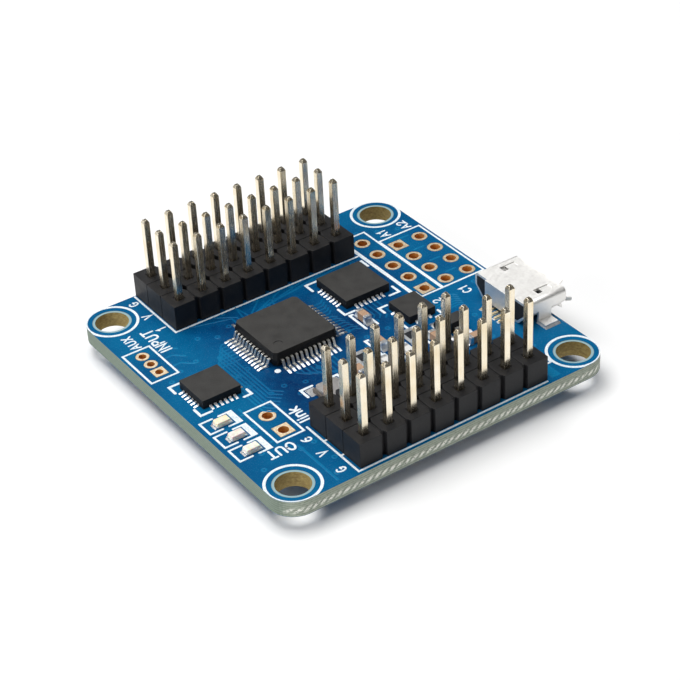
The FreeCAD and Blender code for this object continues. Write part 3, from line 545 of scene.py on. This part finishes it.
def printed_ink():
    """White legend ink: slightly uneven cover, matt."""
    recipe = Recipe("legend_white_ink")
    cover = recipe.noise(recipe.scaled(INK_COVER), detail=4.0, roughness=0.6)
    colour = recipe.spread(recipe.level(cover, *INK_SPAN), INK_WHITES, (0.0, 1.0))
    return recipe.finish(colour, INK_ROUGHNESS, recipe.bump(cover, INK_DEPTH, strength=0.7))


def table_surface():
    recipe = Recipe("table_white")
    mottle = recipe.noise(recipe.scaled(TABLE_MOTTLE), detail=2.0)
    return recipe.finish(recipe.spread(mottle, TABLE_GREYS), TABLE_ROUGHNESS)


# the tracks carry the same painted shade in the middle of the board
track_finish = solder_mask("solder_mask_over_copper", *TRACK_BLUES)
ink_finish = printed_ink()
core_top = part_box("resistor_cores")[1].z / MM
finishes = {
    "laminate": laminate(),
    "legend_ink": ink_finish,
    "solder_mask": solder_mask("solder_mask_blue", *MASK_BLUES),
    "gold_plating": gold_flash(),
    "header_plastic": moulded_plastic(
        "header_black", (0.008, 0.008, 0.009), (0.018, 0.018, 0.020), 0.50, 0.10, 0.008),
    "pin_metal": plated_metal("pin_pale_gold", (0.96, 0.89, 0.74), (0.84, 0.71, 0.49), 0.21, True),
    "solder": plated_metal(
        "solder_bright", (0.93, 0.94, 0.96), (0.78, 0.80, 0.82), 0.32, False, 0.006),
    # the chips' last colour is the painted shade of their sides
    "chip_plastic": moulded_plastic(
        "chip_epoxy", (0.026, 0.025, 0.024), (0.046, 0.045, 0.043),
        0.55, 0.06, 0.004, (0.006, 0.006, 0.006)),
    "tinned_lead": plated_metal("lead_tin", (0.96, 0.94, 0.88), (0.80, 0.78, 0.71), 0.30, False),
    "crystal_can": plated_metal(
        "crystal_lid_steel", (0.70, 0.68, 0.66), (0.52, 0.50, 0.49), 0.34, False),
    "dark_ceramic": fired_ceramic("crystal_ceramic", (0.08, 0.07, 0.06), (0.14, 0.12, 0.10), 0.6),
    "capacitor_ceramic": fired_ceramic(
        "capacitor_ceramic_tan", (0.34, 0.20, 0.12), (0.52, 0.34, 0.22), 0.5),
    "resistor_coat": resistor_body(core_top),
    "end_cap_tin": plated_metal("end_cap_tin", (0.92, 0.92, 0.92), (0.76, 0.77, 0.78), 0.32, False),
    "light_substrate": fired_ceramic(
        "light_substrate_white", (0.70, 0.68, 0.60), (0.84, 0.82, 0.75), 0.5),
    "lens_amber": cast_resin("lens_amber", (0.92, 0.80, 0.52), (0.99, 0.94, 0.76), 0.4),
    "lens_red": cast_resin("lens_red", (0.91, 0.76, 0.68), (0.99, 0.92, 0.86), 0.4),
    "lens_white": cast_resin("lens_white", (0.84, 0.78, 0.62), (0.98, 0.95, 0.86), 0.4),
    "usb_steel": plated_metal(
        "usb_shell_tin", (0.99, 0.98, 0.955), (0.93, 0.915, 0.885), 0.52, False, 0.0006),
    "socket_plastic": moulded_plastic(
        "socket_black", (0.012, 0.012, 0.013), (0.024, 0.024, 0.026), 0.5, 0.12, 0.004),
    "contact_gold": plated_metal(
        "contact_gold", (0.98, 0.82, 0.52), (0.90, 0.68, 0.36), 0.24, False),
}


# ---------------------------------------------------------------- CAD nodes: edges and materials
SOFT_EDGES = {
    "header_plastic": 0.07,
    "pin_metal": 0.05,
    "chip_plastic": 0.05,
    "tinned_lead": 0.035,
    "crystal_can": 0.07,
    "dark_ceramic": 0.03,
    "capacitor_ceramic": 0.04,
    "resistor_coat": 0.02,
    "end_cap_tin": 0.06,
    "light_substrate": 0.03,
    "lens_amber": 0.08,
    "lens_red": 0.08,
    "lens_white": 0.08,
    "usb_steel": 0.05,
    "socket_plastic": 0.04,
    "contact_gold": 0.03,
    "solder": 0.02,
}


def soften(piece, width):
    """Rounds a CAD node's sharp edges without touching its mesh."""
    weld = piece.modifiers.new("weld", "WELD")
    weld.merge_threshold = WELD_DISTANCE * MM
    bevel = piece.modifiers.new("soft_edges", "BEVEL")
    bevel.limit_method = "ANGLE"
    bevel.angle_limit = math.radians(SHARP_ANGLE)
    bevel.width = width * MM
    bevel.segments = BEVEL_SEGMENTS
    bevel.use_clamp_overlap = True
    bevel.harden_normals = True


slot_of = {entry["node"]: entry["material_slot"] for entry in frame["record"]["subparts"]}
for node_name, piece in nodes.items():
    slot_name = slot_of[node_name]
    piece.data.materials.clear()
    piece.data.materials.append(finishes[slot_name])
    if slot_name in SOFT_EDGES:
        soften(piece, SOFT_EDGES[slot_name])


# ---------------------------------------------------------------- places read from the frame
class Extent:
    """A box in the row frame, in millimetres."""

    def __init__(self, low, high):
        self.low = Vector(low) / MM
        self.high = Vector(high) / MM
        self.mid = (self.low + self.high) / 2


def extent(*names):
    """The box round one or more nodes."""
    boxes = [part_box(name) for name in names]
    low = [min(box[0][axis] for box in boxes) for axis in range(3)]
    high = [max(box[1][axis] for box in boxes) for axis in range(3)]
    return Extent(low, high)


def islands(name):
    """The boxes of a node's separate solids, read from a copy of its mesh."""
    mesh = bmesh.new()
    mesh.from_mesh(nodes[name].data)
    bmesh.ops.remove_doubles(mesh, verts=mesh.verts, dist=WELD_DISTANCE * MM)
    waiting = set(mesh.verts)
    found = []
    while waiting:
        front = [waiting.pop()]
        corners = []
        while front:
            vertex = front.pop()
            corners.append(vertex.co.copy())
            for edge in vertex.link_edges:
                other = edge.other_vert(vertex)
                if other in waiting:
                    waiting.remove(other)
                    front.append(other)
        low = [min(corner[axis] for corner in corners) for axis in range(3)]
        high = [max(corner[axis] for corner in corners) for axis in range(3)]
        found.append(Extent(low, high))
    mesh.free()
    return sorted(found, key=lambda place: (round(place.mid.x, 2), round(place.mid.y, 2)))


def on_side(places, body, axis, side):
    """The places beyond one side of a body, in order along that side."""
    edge = body.high[axis] if side > 0 else body.low[axis]
    chosen = [place for place in places if (place.mid[axis] - edge) * side > 0]
    return sorted(chosen, key=lambda place: place.mid[1 - axis])


# ---------------------------------------------------------------- thin raised lines and plates
def stations(points, closed):
    """Centre, sideways direction and mitre stretch at each point of a line."""
    count = len(points)
    out = []
    for index, point in enumerate(points):
        here = Vector(point)
        directions = []
        if closed or index > 0:
            directions.append((here - Vector(points[index - 1])).normalized())
        if closed or index < count - 1:
            directions.append((Vector(points[(index + 1) % count]) - here).normalized())
        mean = sum(directions, Vector((0.0, 0.0))).normalized()
        stretch = 1.0 / max(SHARPEST_MITRE, mean.dot(directions[0]))
        out.append((here, Vector((-mean.y, mean.x)) * stretch))
    return out


class Relief:
    """Thin lines and plates that stand on one face of the board, gathered into one mesh.

    A negative rise stands below the board. Each stroke is a little higher than the one before,
    over a short cycle, so that strokes that cross have no faces in one plane.
    """

    def __init__(self, surface, rise, slope):
        self.mesh = bmesh.new()
        self.outward = 1 if rise > 0 else -1
        self.foot = surface - self.outward * SUNK
        self.crown = surface + rise
        self.slope = slope
        self.strokes = 0

    def next_crown(self):
        self.strokes += 1
        return self.crown + self.outward * STROKE_STEP * (self.strokes % STROKE_CYCLE)

    def ring(self, here, side, half, crown):
        inner = max(half - self.slope, half * NARROWEST_CROWN)
        profile = ((half, self.foot), (inner, crown), (-inner, crown), (-half, self.foot))
        return [self.mesh.verts.new(((here.x + side.x * d) * MM, (here.y + side.y * d) * MM, z * MM))
                for d, z in profile]

    def line(self, points, width, closed=False):
        """A flat-topped line with sloping sides and, unless closed, round ends."""
        rows = [(here, side, width / 2) for here, side in stations(points, closed)]
        if not closed:
            rows = self.round_end(rows[0], rows[1], width) + rows
            rows = rows + self.round_end(rows[-1], rows[-2], width)[::-1]
        crown = self.next_crown()
        rings = [self.ring(here, side, half, crown) for here, side, half in rows]
        pairs = list(zip(rings, rings[1:]))
        if closed:
            pairs.append((rings[-1], rings[0]))
        else:
            self.mesh.faces.new(rings[0][::-1])
            self.mesh.faces.new(rings[-1])
        for a, b in pairs:
            for k in range(4):
                n = (k + 1) % 4
                self.mesh.faces.new((a[k], a[n], b[n], b[k]))

    def round_end(self, end, inner, width):
        """Rows that narrow to a round tip beyond the end of a line, from the tip inwards."""
        outward = (end[0] - inner[0]).normalized()
        rows = []
        for share in END_SHARES:
            narrow = math.sqrt(1.0 - share * share)
            rows.append((end[0] + outward * share * width / 2, end[1], width / 2 * narrow))
        return rows

    def loop(self, x, y, radius, width):
        points = arc(x, y, radius, radius, 0, 360 - 360 / LOOP_SIDES, LOOP_SIDES - 1)
        self.line(points, width, closed=True)

    def plate(self, outline):
        """A flat plate with sloping sides; its outline runs anticlockwise."""
        crown = self.next_crown()
        inset = [here + side * self.slope for here, side in stations(outline, True)]
        lower = [self.mesh.verts.new((x * MM, y * MM, self.foot * MM)) for x, y in outline]
        upper = [self.mesh.verts.new((p.x * MM, p.y * MM, crown * MM)) for p in inset]
        self.mesh.faces.new(lower[::-1])
        self.mesh.faces.new(upper)
        count = len(outline)
        for k in range(count):
            n = (k + 1) % count
            self.mesh.faces.new((lower[k], lower[n], upper[n], upper[k]))

    def make(self, name, material):
        bmesh.ops.recalc_face_normals(self.mesh, faces=self.mesh.faces)
        data = bpy.data.meshes.new(name)
        self.mesh.to_mesh(data)
        self.mesh.free()
        data.materials.append(material)
        piece = bpy.data.objects.new(name, data)
        bpy.context.scene.collection.objects.link(piece)
        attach(piece, "root")


def arc(cx, cy, rx, ry, start, end, steps):
    """Points along part of an ellipse; angles in degrees."""
    out = []
    for index in range(steps + 1):
        angle = math.radians(start + (end - start) * index / steps)
        out.append((cx + rx * math.cos(angle), cy + ry * math.sin(angle)))
    return out


def rectangle(x_low, x_high, y_low, y_high):
    return [(x_low, y_low), (x_high, y_low), (x_high, y_high), (x_low, y_high)]


# ---------------------------------------------------------------- printed legend
def glyph_table():
    """Single-line letters in a cell one unit high; name to width and strokes."""
    bowl_left = arc(0.32, 0.5, 0.30, 0.5, 50, 310, 12)
    return {
        "1": (0.30, [[(0.0, 0.78), (0.20, 1.0), (0.20, 0.0)]]),
        "2": (0.60, [arc(0.3, 0.72, 0.28, 0.28, 170, -30, 8) + [(0.0, 0.0), (0.6, 0.0)]]),
        "6": (0.58, [
            arc(0.29, 0.30, 0.28, 0.30, 0, 360, 16),
            arc(0.62, 0.36, 0.61, 0.64, 100, 180, 6),
        ]),
        "A": (0.66, [[(0.0, 0.0), (0.33, 1.0), (0.66, 0.0)], [(0.12, 0.34), (0.54, 0.34)]]),
        "C": (0.58, [bowl_left]),
        "G": (0.64, [bowl_left + [(0.60, 0.42)], [(0.36, 0.44), (0.62, 0.44)]]),
        "I": (0.10, [[(0.05, 0.0), (0.05, 1.0)]]),
        "N": (0.60, [[(0.0, 0.0), (0.0, 1.0), (0.6, 0.0), (0.6, 1.0)]]),
        "O": (0.66, [arc(0.33, 0.5, 0.32, 0.5, 0, 360, 18)]),
        "P": (0.56, [
            [(0.0, 0.0), (0.0, 1.0)] + arc(0.3, 0.75, 0.26, 0.25, 90, -90, 8) + [(0.0, 0.5)],
        ]),
        "T": (0.60, [[(0.0, 1.0), (0.6, 1.0)], [(0.3, 1.0), (0.3, 0.0)]]),
        "U": (0.62, [[(0.0, 1.0)] + arc(0.31, 0.3, 0.31, 0.3, 180, 360, 10) + [(0.62, 1.0)]]),
        "V": (0.62, [[(0.0, 1.0), (0.31, 0.0), (0.62, 1.0)]]),
        "X": (0.60, [[(0.0, 0.0), (0.6, 1.0)], [(0.0, 1.0), (0.6, 0.0)]]),
        "i": (0.10, [[(0.05, 0.0), (0.05, 0.66)], [(0.05, 0.90), (0.05, 0.96)]]),
        "k": (0.48, [
            [(0.0, 0.0), (0.0, 1.0)],
            [(0.46, 0.66), (0.02, 0.28)],
            [(0.14, 0.38), (0.48, 0.0)],
        ]),
        "l": (0.10, [[(0.05, 0.0), (0.05, 1.0)]]),
        "n": (0.50, [
            [(0.0, 0.0), (0.0, 0.66)],
            [(0.0, 0.40)] + arc(0.25, 0.40, 0.25, 0.26, 170, 0, 7) + [(0.5, 0.0)],
        ]),
    }


GLYPHS = glyph_table()


def write(relief, text, x, y, height, turn, width):
    """Prints a word; (x, y) is its lower left corner before it is turned about that corner."""
    cos_turn = math.cos(math.radians(turn))
    sin_turn = math.sin(math.radians(turn))
    pen = 0.0
    for letter in text:
        cell, strokes = GLYPHS[letter]
        for stroke in strokes:
            points = []
            for u, v in stroke:
                along = (pen + u) * height
                up = v * height
                turned = (along * cos_turn - up * sin_turn, along * sin_turn + up * cos_turn)
                points.append((x + turned[0], y + turned[1]))
            relief.line(points, width)
        pen += cell + LETTER_GAP


def print_header_outlines(relief):
    """Two sides of a box round each pin header, and a tick between its rows."""
    header = extent("input_signal_strip", "input_ground_strip")
    left = header.low.x - HEADER_MARGIN
    below = header.low.y - HEADER_MARGIN
    above = min(header.high.y, BOARD_HALF - HEADER_MARGIN)
    relief.line([(left, above), (left, below), (header.high.x + HEADER_MARGIN, below)], LINE)

    header = extent("output_signal_strip", "output_ground_strip")
    left = header.low.x - OUTPUT_MARGIN
    below = header.low.y - HEADER_MARGIN
    relief.line([(left, header.high.y), (left, below), (header.high.x - HEADER_MARGIN, below)], LINE)
    for name in ("output_power_strip", "output_ground_strip"):
        row_edge = extent(name).high.y
        relief.line([(left, row_edge), (extent(name).low.x - TICK_GAP, row_edge)], LINE)


def print_pad_boxes(relief):
    for name, (left, right, below, above) in PAD_BOX_MARGINS.items():
        pads = extent(name)
        low = (pads.low.x - left, pads.low.y - below)
        high = (pads.high.x + right, pads.high.y + above)
        relief.line(rectangle(low[0], high[0], low[1], high[1]), LINE, closed=True)

    # the auxiliary row's -X side is printed twice
    pads = extent("auxiliary_row_hole_plating")
    left, right, below, above = PAD_BOX_MARGINS["auxiliary_row_hole_plating"]
    x = pads.low.x - left - DOUBLE_LINE_STEP
    relief.line([(x, pads.low.y - below), (x, pads.high.y + above)], LINE)


def print_corner_marks(relief):
    """L-shaped marks at the corners of the chips, a margin beyond the ends of their pads."""
    for name, corners in CHIP_CORNERS.items():
        pads = extent(name)
        for side_x, side_y, margin, arm in corners:
            x = (pads.high.x if side_x > 0 else pads.low.x) + side_x * margin
            y = (pads.high.y if side_y > 0 else pads.low.y) + side_y * margin
            relief.line([(x - side_x * arm, y), (x, y), (x, y - side_y * arm)], CORNER_LINE)


def print_first_pin_dots(relief):
    for name, gap_x, gap_y in FIRST_PIN_DOTS:
        place = extent(name)
        relief.loop(place.low.x - gap_x, place.low.y - gap_y, DOT_RADIUS, 2 * DOT_RADIUS)


def print_part_brackets(relief):
    """A hooked line down both long sides of every chip part that lies along Y."""
    for name in ("capacitor_cores", "resistor_cores"):
        for core in islands(name):
            size = core.high - core.low
            if size.x > size.y:
                continue
            half = size.x / 2 + BRACKET_GAP
            reach = size.x + BRACKET_REACH
            for side in (-1, 1):
                edge = core.mid.x + side * half
                hook = edge - side * BRACKET_HOOK
                top = core.mid.y + reach
                relief.line([(hook, top), (edge, top), (edge, core.mid.y - reach)], CORNER_LINE)


def print_status_boxes(relief):
    """A box round each status light, open under its middle, with a broad bar at its +X end."""
    for name in STATUS_LENSES:
        lens = extent(name)
        middle = lens.mid.y + STATUS_BOX_SHIFT
        left = lens.low.x - STATUS_BOX_MARGIN
        right = lens.high.x + STATUS_BOX_MARGIN
        low = middle - STATUS_BOX_HALF
        high = middle + STATUS_BOX_HALF
        gap_low = lens.mid.x - STATUS_BOX_GAP
        gap_high = lens.mid.x + STATUS_BOX_GAP
        relief.line([(gap_low, high), (left, high), (left, low), (gap_low, low)], LINE)
        relief.line([(gap_high, low), (right, low), (right, high), (gap_high, high)], LINE)
        relief.plate(rectangle(right - STATUS_BAR, right, low, high))


def print_hole_arrow(relief):
    """A small open triangle beside the +X, -Y mounting hole."""
    x = HOLE_OFFSET - ARROW_OUT
    y = -HOLE_OFFSET
    relief.line([(x, y + ARROW_SIDE), (x, y), (x - ARROW_SIDE, y)], LINE, closed=True)


def top_legend():
    relief = Relief(BOARD_TOP, INK_RISE, INK_SLOPE)
    print_header_outlines(relief)
    print_pad_boxes(relief)
    print_corner_marks(relief)
    print_first_pin_dots(relief)
    print_part_brackets(relief)
    print_status_boxes(relief)
    print_hole_arrow(relief)
    for text, name, right, up, turn, height in LABELS:
        corner = extent(name).low
        write(relief, text, corner.x + right, corner.y + up, height, turn, LETTER_WEIGHT * height)
    relief.make("printed_legend_top", ink_finish)


def bottom_legend():
    """Plain boxes round the two pin headers; the side that is out of sight has no words."""
    relief = Relief(BOARD_BOTTOM, -INK_RISE, INK_SLOPE)
    for prefix in ("input", "output"):
        joints = extent(prefix + "_header_solder")
        edge = BOARD_HALF - HEADER_MARGIN
        low = max(joints.low.y - HEADER_MARGIN, -edge)
        high = min(joints.high.y + HEADER_MARGIN, edge)
        outline = rectangle(joints.low.x - HEADER_MARGIN, joints.high.x + HEADER_MARGIN, low, high)
        relief.line(outline, LINE, closed=True)
    relief.make("printed_legend_bottom", ink_finish)


# ---------------------------------------------------------------- tracks and vias under the mask
def processor_tracks(relief):
    body = extent("microcontroller_body")
    pads = islands("microcontroller_pads")
    sensor = extent("motion_sensor_pads")
    pins = islands("input_signal_pins")
    strip = extent("input_signal_strip")

    # the -X side feeds a bus that runs down past the motion sensor
    for index, pad in enumerate(on_side(pads, body, 0, -1)[::-1][:BUS_LINES]):
        column = pad.low.x - BUS_START - BUS_STEP * index
        end = sensor.low.y - BUS_START - BUS_STEP * index
        shoulder = (column + BEND, pad.mid.y)
        tail = (column + BUS_TAIL, end - BUS_TAIL)
        corner = (column, pad.mid.y - BEND)
        relief.line([(pad.low.x, pad.mid.y), shoulder, corner, (column, end), tail], TRACK)

    # the +Y side fans out to the input header's signal pins
    upper = on_side(pads, body, 1, 1)[1:-1]
    for index, pad in enumerate(upper):
        pin = pins[round(index * (len(pins) - 1) / (len(upper) - 1))]
        turn_y = pad.high.y + BEND + FAN_STEP * abs(index - len(upper) / 2)
        entry = strip.low.y - BEND
        start = (pad.mid.x, pad.high.y)
        end = (pin.mid.x, strip.low.y)
        relief.line([start, (pad.mid.x, turn_y), (pin.mid.x, entry), end], TRACK)

    # the +X side has short stubs that part half way
    right = on_side(pads, body, 0, 1)
    for index, pad in enumerate(right):
        bend = pad.high.x + BEND + FAN_STEP * abs(index - len(right) / 2)
        turn_y = BEND if index > len(right) / 2 else -BEND
        end = (bend + BEND, pad.mid.y + turn_y)
        relief.line([(pad.high.x, pad.mid.y), (bend, pad.mid.y), end], TRACK)

    # the -Y side drops towards the small parts
    for index, pad in enumerate(on_side(pads, body, 1, -1)[1:-2]):
        drop = pad.low.y - BEND - STAIR_STEP * index
        end = (pad.mid.x + BUS_TAIL, drop - BUS_TAIL)
        relief.line([(pad.mid.x, pad.low.y), (pad.mid.x, drop), end], TRACK)


def connector_tracks(relief):
    bridge = on_side(islands("usb_bridge_pads"), extent("usb_bridge_body"), 1, -1)
    compass = extent("compass_pads")
    for index, pad in enumerate(bridge[:-2]):
        drop = compass.high.y - STAIR_STEP * index
        end = (pad.mid.x - BEND, drop - BEND)
        relief.line([(pad.mid.x, pad.low.y), (pad.mid.x, drop), end], TRACK)

    socket = extent("usb_pads")
    for index in range(SOCKET_LINES):
        y = compass.mid.y - BUS_STEP * index
        bend = socket.low.x - BUS_STEP - FAN_STEP * index
        relief.line([(compass.high.x + BEND, y), (bend, y), (bend + BEND, y - BEND)], TRACK)

    for name in STATUS_LENSES:
        lens = extent(name)
        x = lens.high.x + STATUS_BOX_MARGIN + BEND
        end = (x + BEND, lens.mid.y + BUS_TAIL)
        relief.line([(x, lens.mid.y), (x + BEND, lens.mid.y), end], WIDE_TRACK)

    for hole in islands("sensor_port_hole_plating"):
        start = hole.high.x + BUS_TAIL
        end = (start + 2 * BUS_TAIL, hole.mid.y - BUS_TAIL)
        relief.line([(start, hole.mid.y), (start + BUS_TAIL, hole.mid.y), end], WIDE_TRACK)

    columns = islands("expansion_hole_plating")
    pairs = zip(columns[:len(columns) // 2], columns[len(columns) // 2:])
    for near, far in pairs:
        y = near.high.y + PAD_LINE_GAP
        relief.line([(near.high.x, y), (far.low.x, y)], WIDE_TRACK)


def copper_areas(relief):
    """Ground copper with cut corners beside the mounting holes and between the small parts."""
    output = extent("output_signal_strip", "output_ground_strip")
    reach = HOLE_OFFSET - AREA_HOLE_GAP
    low = -BOARD_HALF + AREA_EDGE_GAP
    for side, inner in ((-1, output.low.x - AREA_HEADER_GAP), (1, output.high.x + AREA_EDGE_GAP)):
        outer = side * reach
        near, far = sorted((inner, outer))
        cut = min(AREA_CUT, (far - near) / 2)
        top = -HOLE_OFFSET + AREA_HEIGHT
        relief.plate([(near, low), (far, low), (far, top - cut), (far - cut, top), (near, top)])


def vias(relief):
    """Tented vias, scattered over the open parts of the board by a seeded draw."""
    rng = random.Random(VIA_SEED)
    flat = ("board", "solder_mask", "printed")
    taken = [extent(name) for name in nodes if not name.startswith(flat)]
    taken += [place for name in SPREAD_NODES for place in islands(name)]
    taken = [place for place in taken if (place.high - place.low).xy.length < WIDEST_KEEP_OUT]
    edge = BOARD_HALF - VIA_EDGE_GAP
    placed = []
    tries = [(rng.uniform(-edge, edge), rng.uniform(-edge, edge)) for _ in range(VIA_ATTEMPTS)]
    for x, y in tries:
        clear = all(x < place.low.x - VIA_GAP or x > place.high.x + VIA_GAP
                    or y < place.low.y - VIA_GAP or y > place.high.y + VIA_GAP for place in taken)
        off_hole = math.hypot(abs(x) - HOLE_OFFSET, abs(y) - HOLE_OFFSET) > VIA_HOLE_GAP
        apart = all(math.hypot(x - px, y - py) > VIA_SPACING for px, py in placed)
        if clear and off_hole and apart:
            placed.append((x, y))
            relief.loop(x, y, VIA_RADIUS, VIA_RADIUS)


def top_tracks():
    relief = Relief(BOARD_TOP, TRACK_RISE, TRACK_SLOPE)
    processor_tracks(relief)
    connector_tracks(relief)
    copper_areas(relief)
    vias(relief)
    relief.make("tracks_under_mask_top", track_finish)


def bottom_tracks():
    """Doglegs under the board that join the two headers' signal pins."""
    relief = Relief(BOARD_BOTTOM, -TRACK_RISE, TRACK_SLOPE)
    start_y = extent("output_header_solder").high.y + BEND
    end_y = extent("input_header_solder").low.y - BEND
    pairs = zip(islands("output_signal_pins"), islands("input_signal_pins"))
    for index, (start, end) in enumerate(pairs):
        turn_y = start_y + STAIR_STEP * index + BUS_TAIL
        rise = abs(end.mid.x - start.mid.x)
        upper_half = [(end.mid.x, turn_y + rise), (end.mid.x, end_y)]
        relief.line([(start.mid.x, start_y), (start.mid.x, turn_y)] + upper_half, WIDE_TRACK)
    relief.make("tracks_under_mask_bottom", track_finish)


# ---------------------------------------------------------------- table, light and camera
def make_table():
    """A pale table that the pin tails stand on."""
    mesh = bmesh.new()
    outline = rectangle(-TABLE_HALF, TABLE_HALF, -TABLE_HALF, TABLE_HALF)
    mesh.faces.new([mesh.verts.new((x, y, cad_low.z)) for x, y in outline])
    data = bpy.data.meshes.new("table")
    mesh.to_mesh(data)
    mesh.free()
    data.materials.append(table_surface())
    table = bpy.data.objects.new("table", data)
    bpy.context.scene.collection.objects.link(table)


def area_light(name, azimuth, elevation, distance, size, power):
    """A square soft light that looks at the board from an azimuth, 0 being the -Y side."""
    data = bpy.data.lights.new(name, "AREA")
    data.shape = "SQUARE"
    data.size = size
    data.energy = power
    light = bpy.data.objects.new(name, data)
    bpy.context.scene.collection.objects.link(light)
    flat = math.cos(math.radians(elevation)) * distance
    place = Vector((math.sin(math.radians(azimuth)) * flat, -math.cos(math.radians(azimuth)) * flat,
                    math.sin(math.radians(elevation)) * distance))
    light.location = place
    light.rotation_euler = (-place).to_track_quat("-Z", "Y").to_euler()


def make_light():
    world = bpy.data.worlds.new("studio")
    world.use_nodes = True
    background = world.node_tree.nodes["Background"]
    background.inputs["Color"].default_value = (1.0, 1.0, 1.0, 1.0)
    background.inputs["Strength"].default_value = WORLD_STRENGTH
    bpy.context.scene.world = world
    area_light("overhead_softbox", azimuth=200, elevation=75, distance=1.0, size=0.95, power=13.4)
    area_light("side_fill", azimuth=-80, elevation=17, distance=0.8, size=0.50, power=2.5)
    view = bpy.context.scene.view_settings
    view.view_transform = "Standard"
    view.look = "None"
    view.exposure = 0.0


def make_camera():
    data = bpy.data.cameras.new("camera")
    data.lens = LENS
    data.sensor_width = SENSOR_WIDTH
    data.clip_start, data.clip_end = CAMERA_CLIP
    camera = bpy.data.objects.new("camera", data)
    bpy.context.scene.collection.objects.link(camera)
    azimuth = math.radians(CAMERA_AZIMUTH)
    elevation = math.radians(CAMERA_ELEVATION)
    away = Vector((math.sin(azimuth) * math.cos(elevation), -math.cos(azimuth) * math.cos(elevation),
                   math.sin(elevation)))
    facing = (-away).to_track_quat("-Z", "Y").to_matrix().to_4x4()
    roll = Matrix.Rotation(math.radians(CAMERA_ROLL), 4, "Z")
    camera.matrix_world = Matrix.Translation(AIM + away * CAMERA_DISTANCE) @ facing @ roll
    bpy.context.scene.camera = camera


make_table()
make_light()
make_camera()
top_legend()
bottom_legend()
top_tracks()
bottom_tracks()
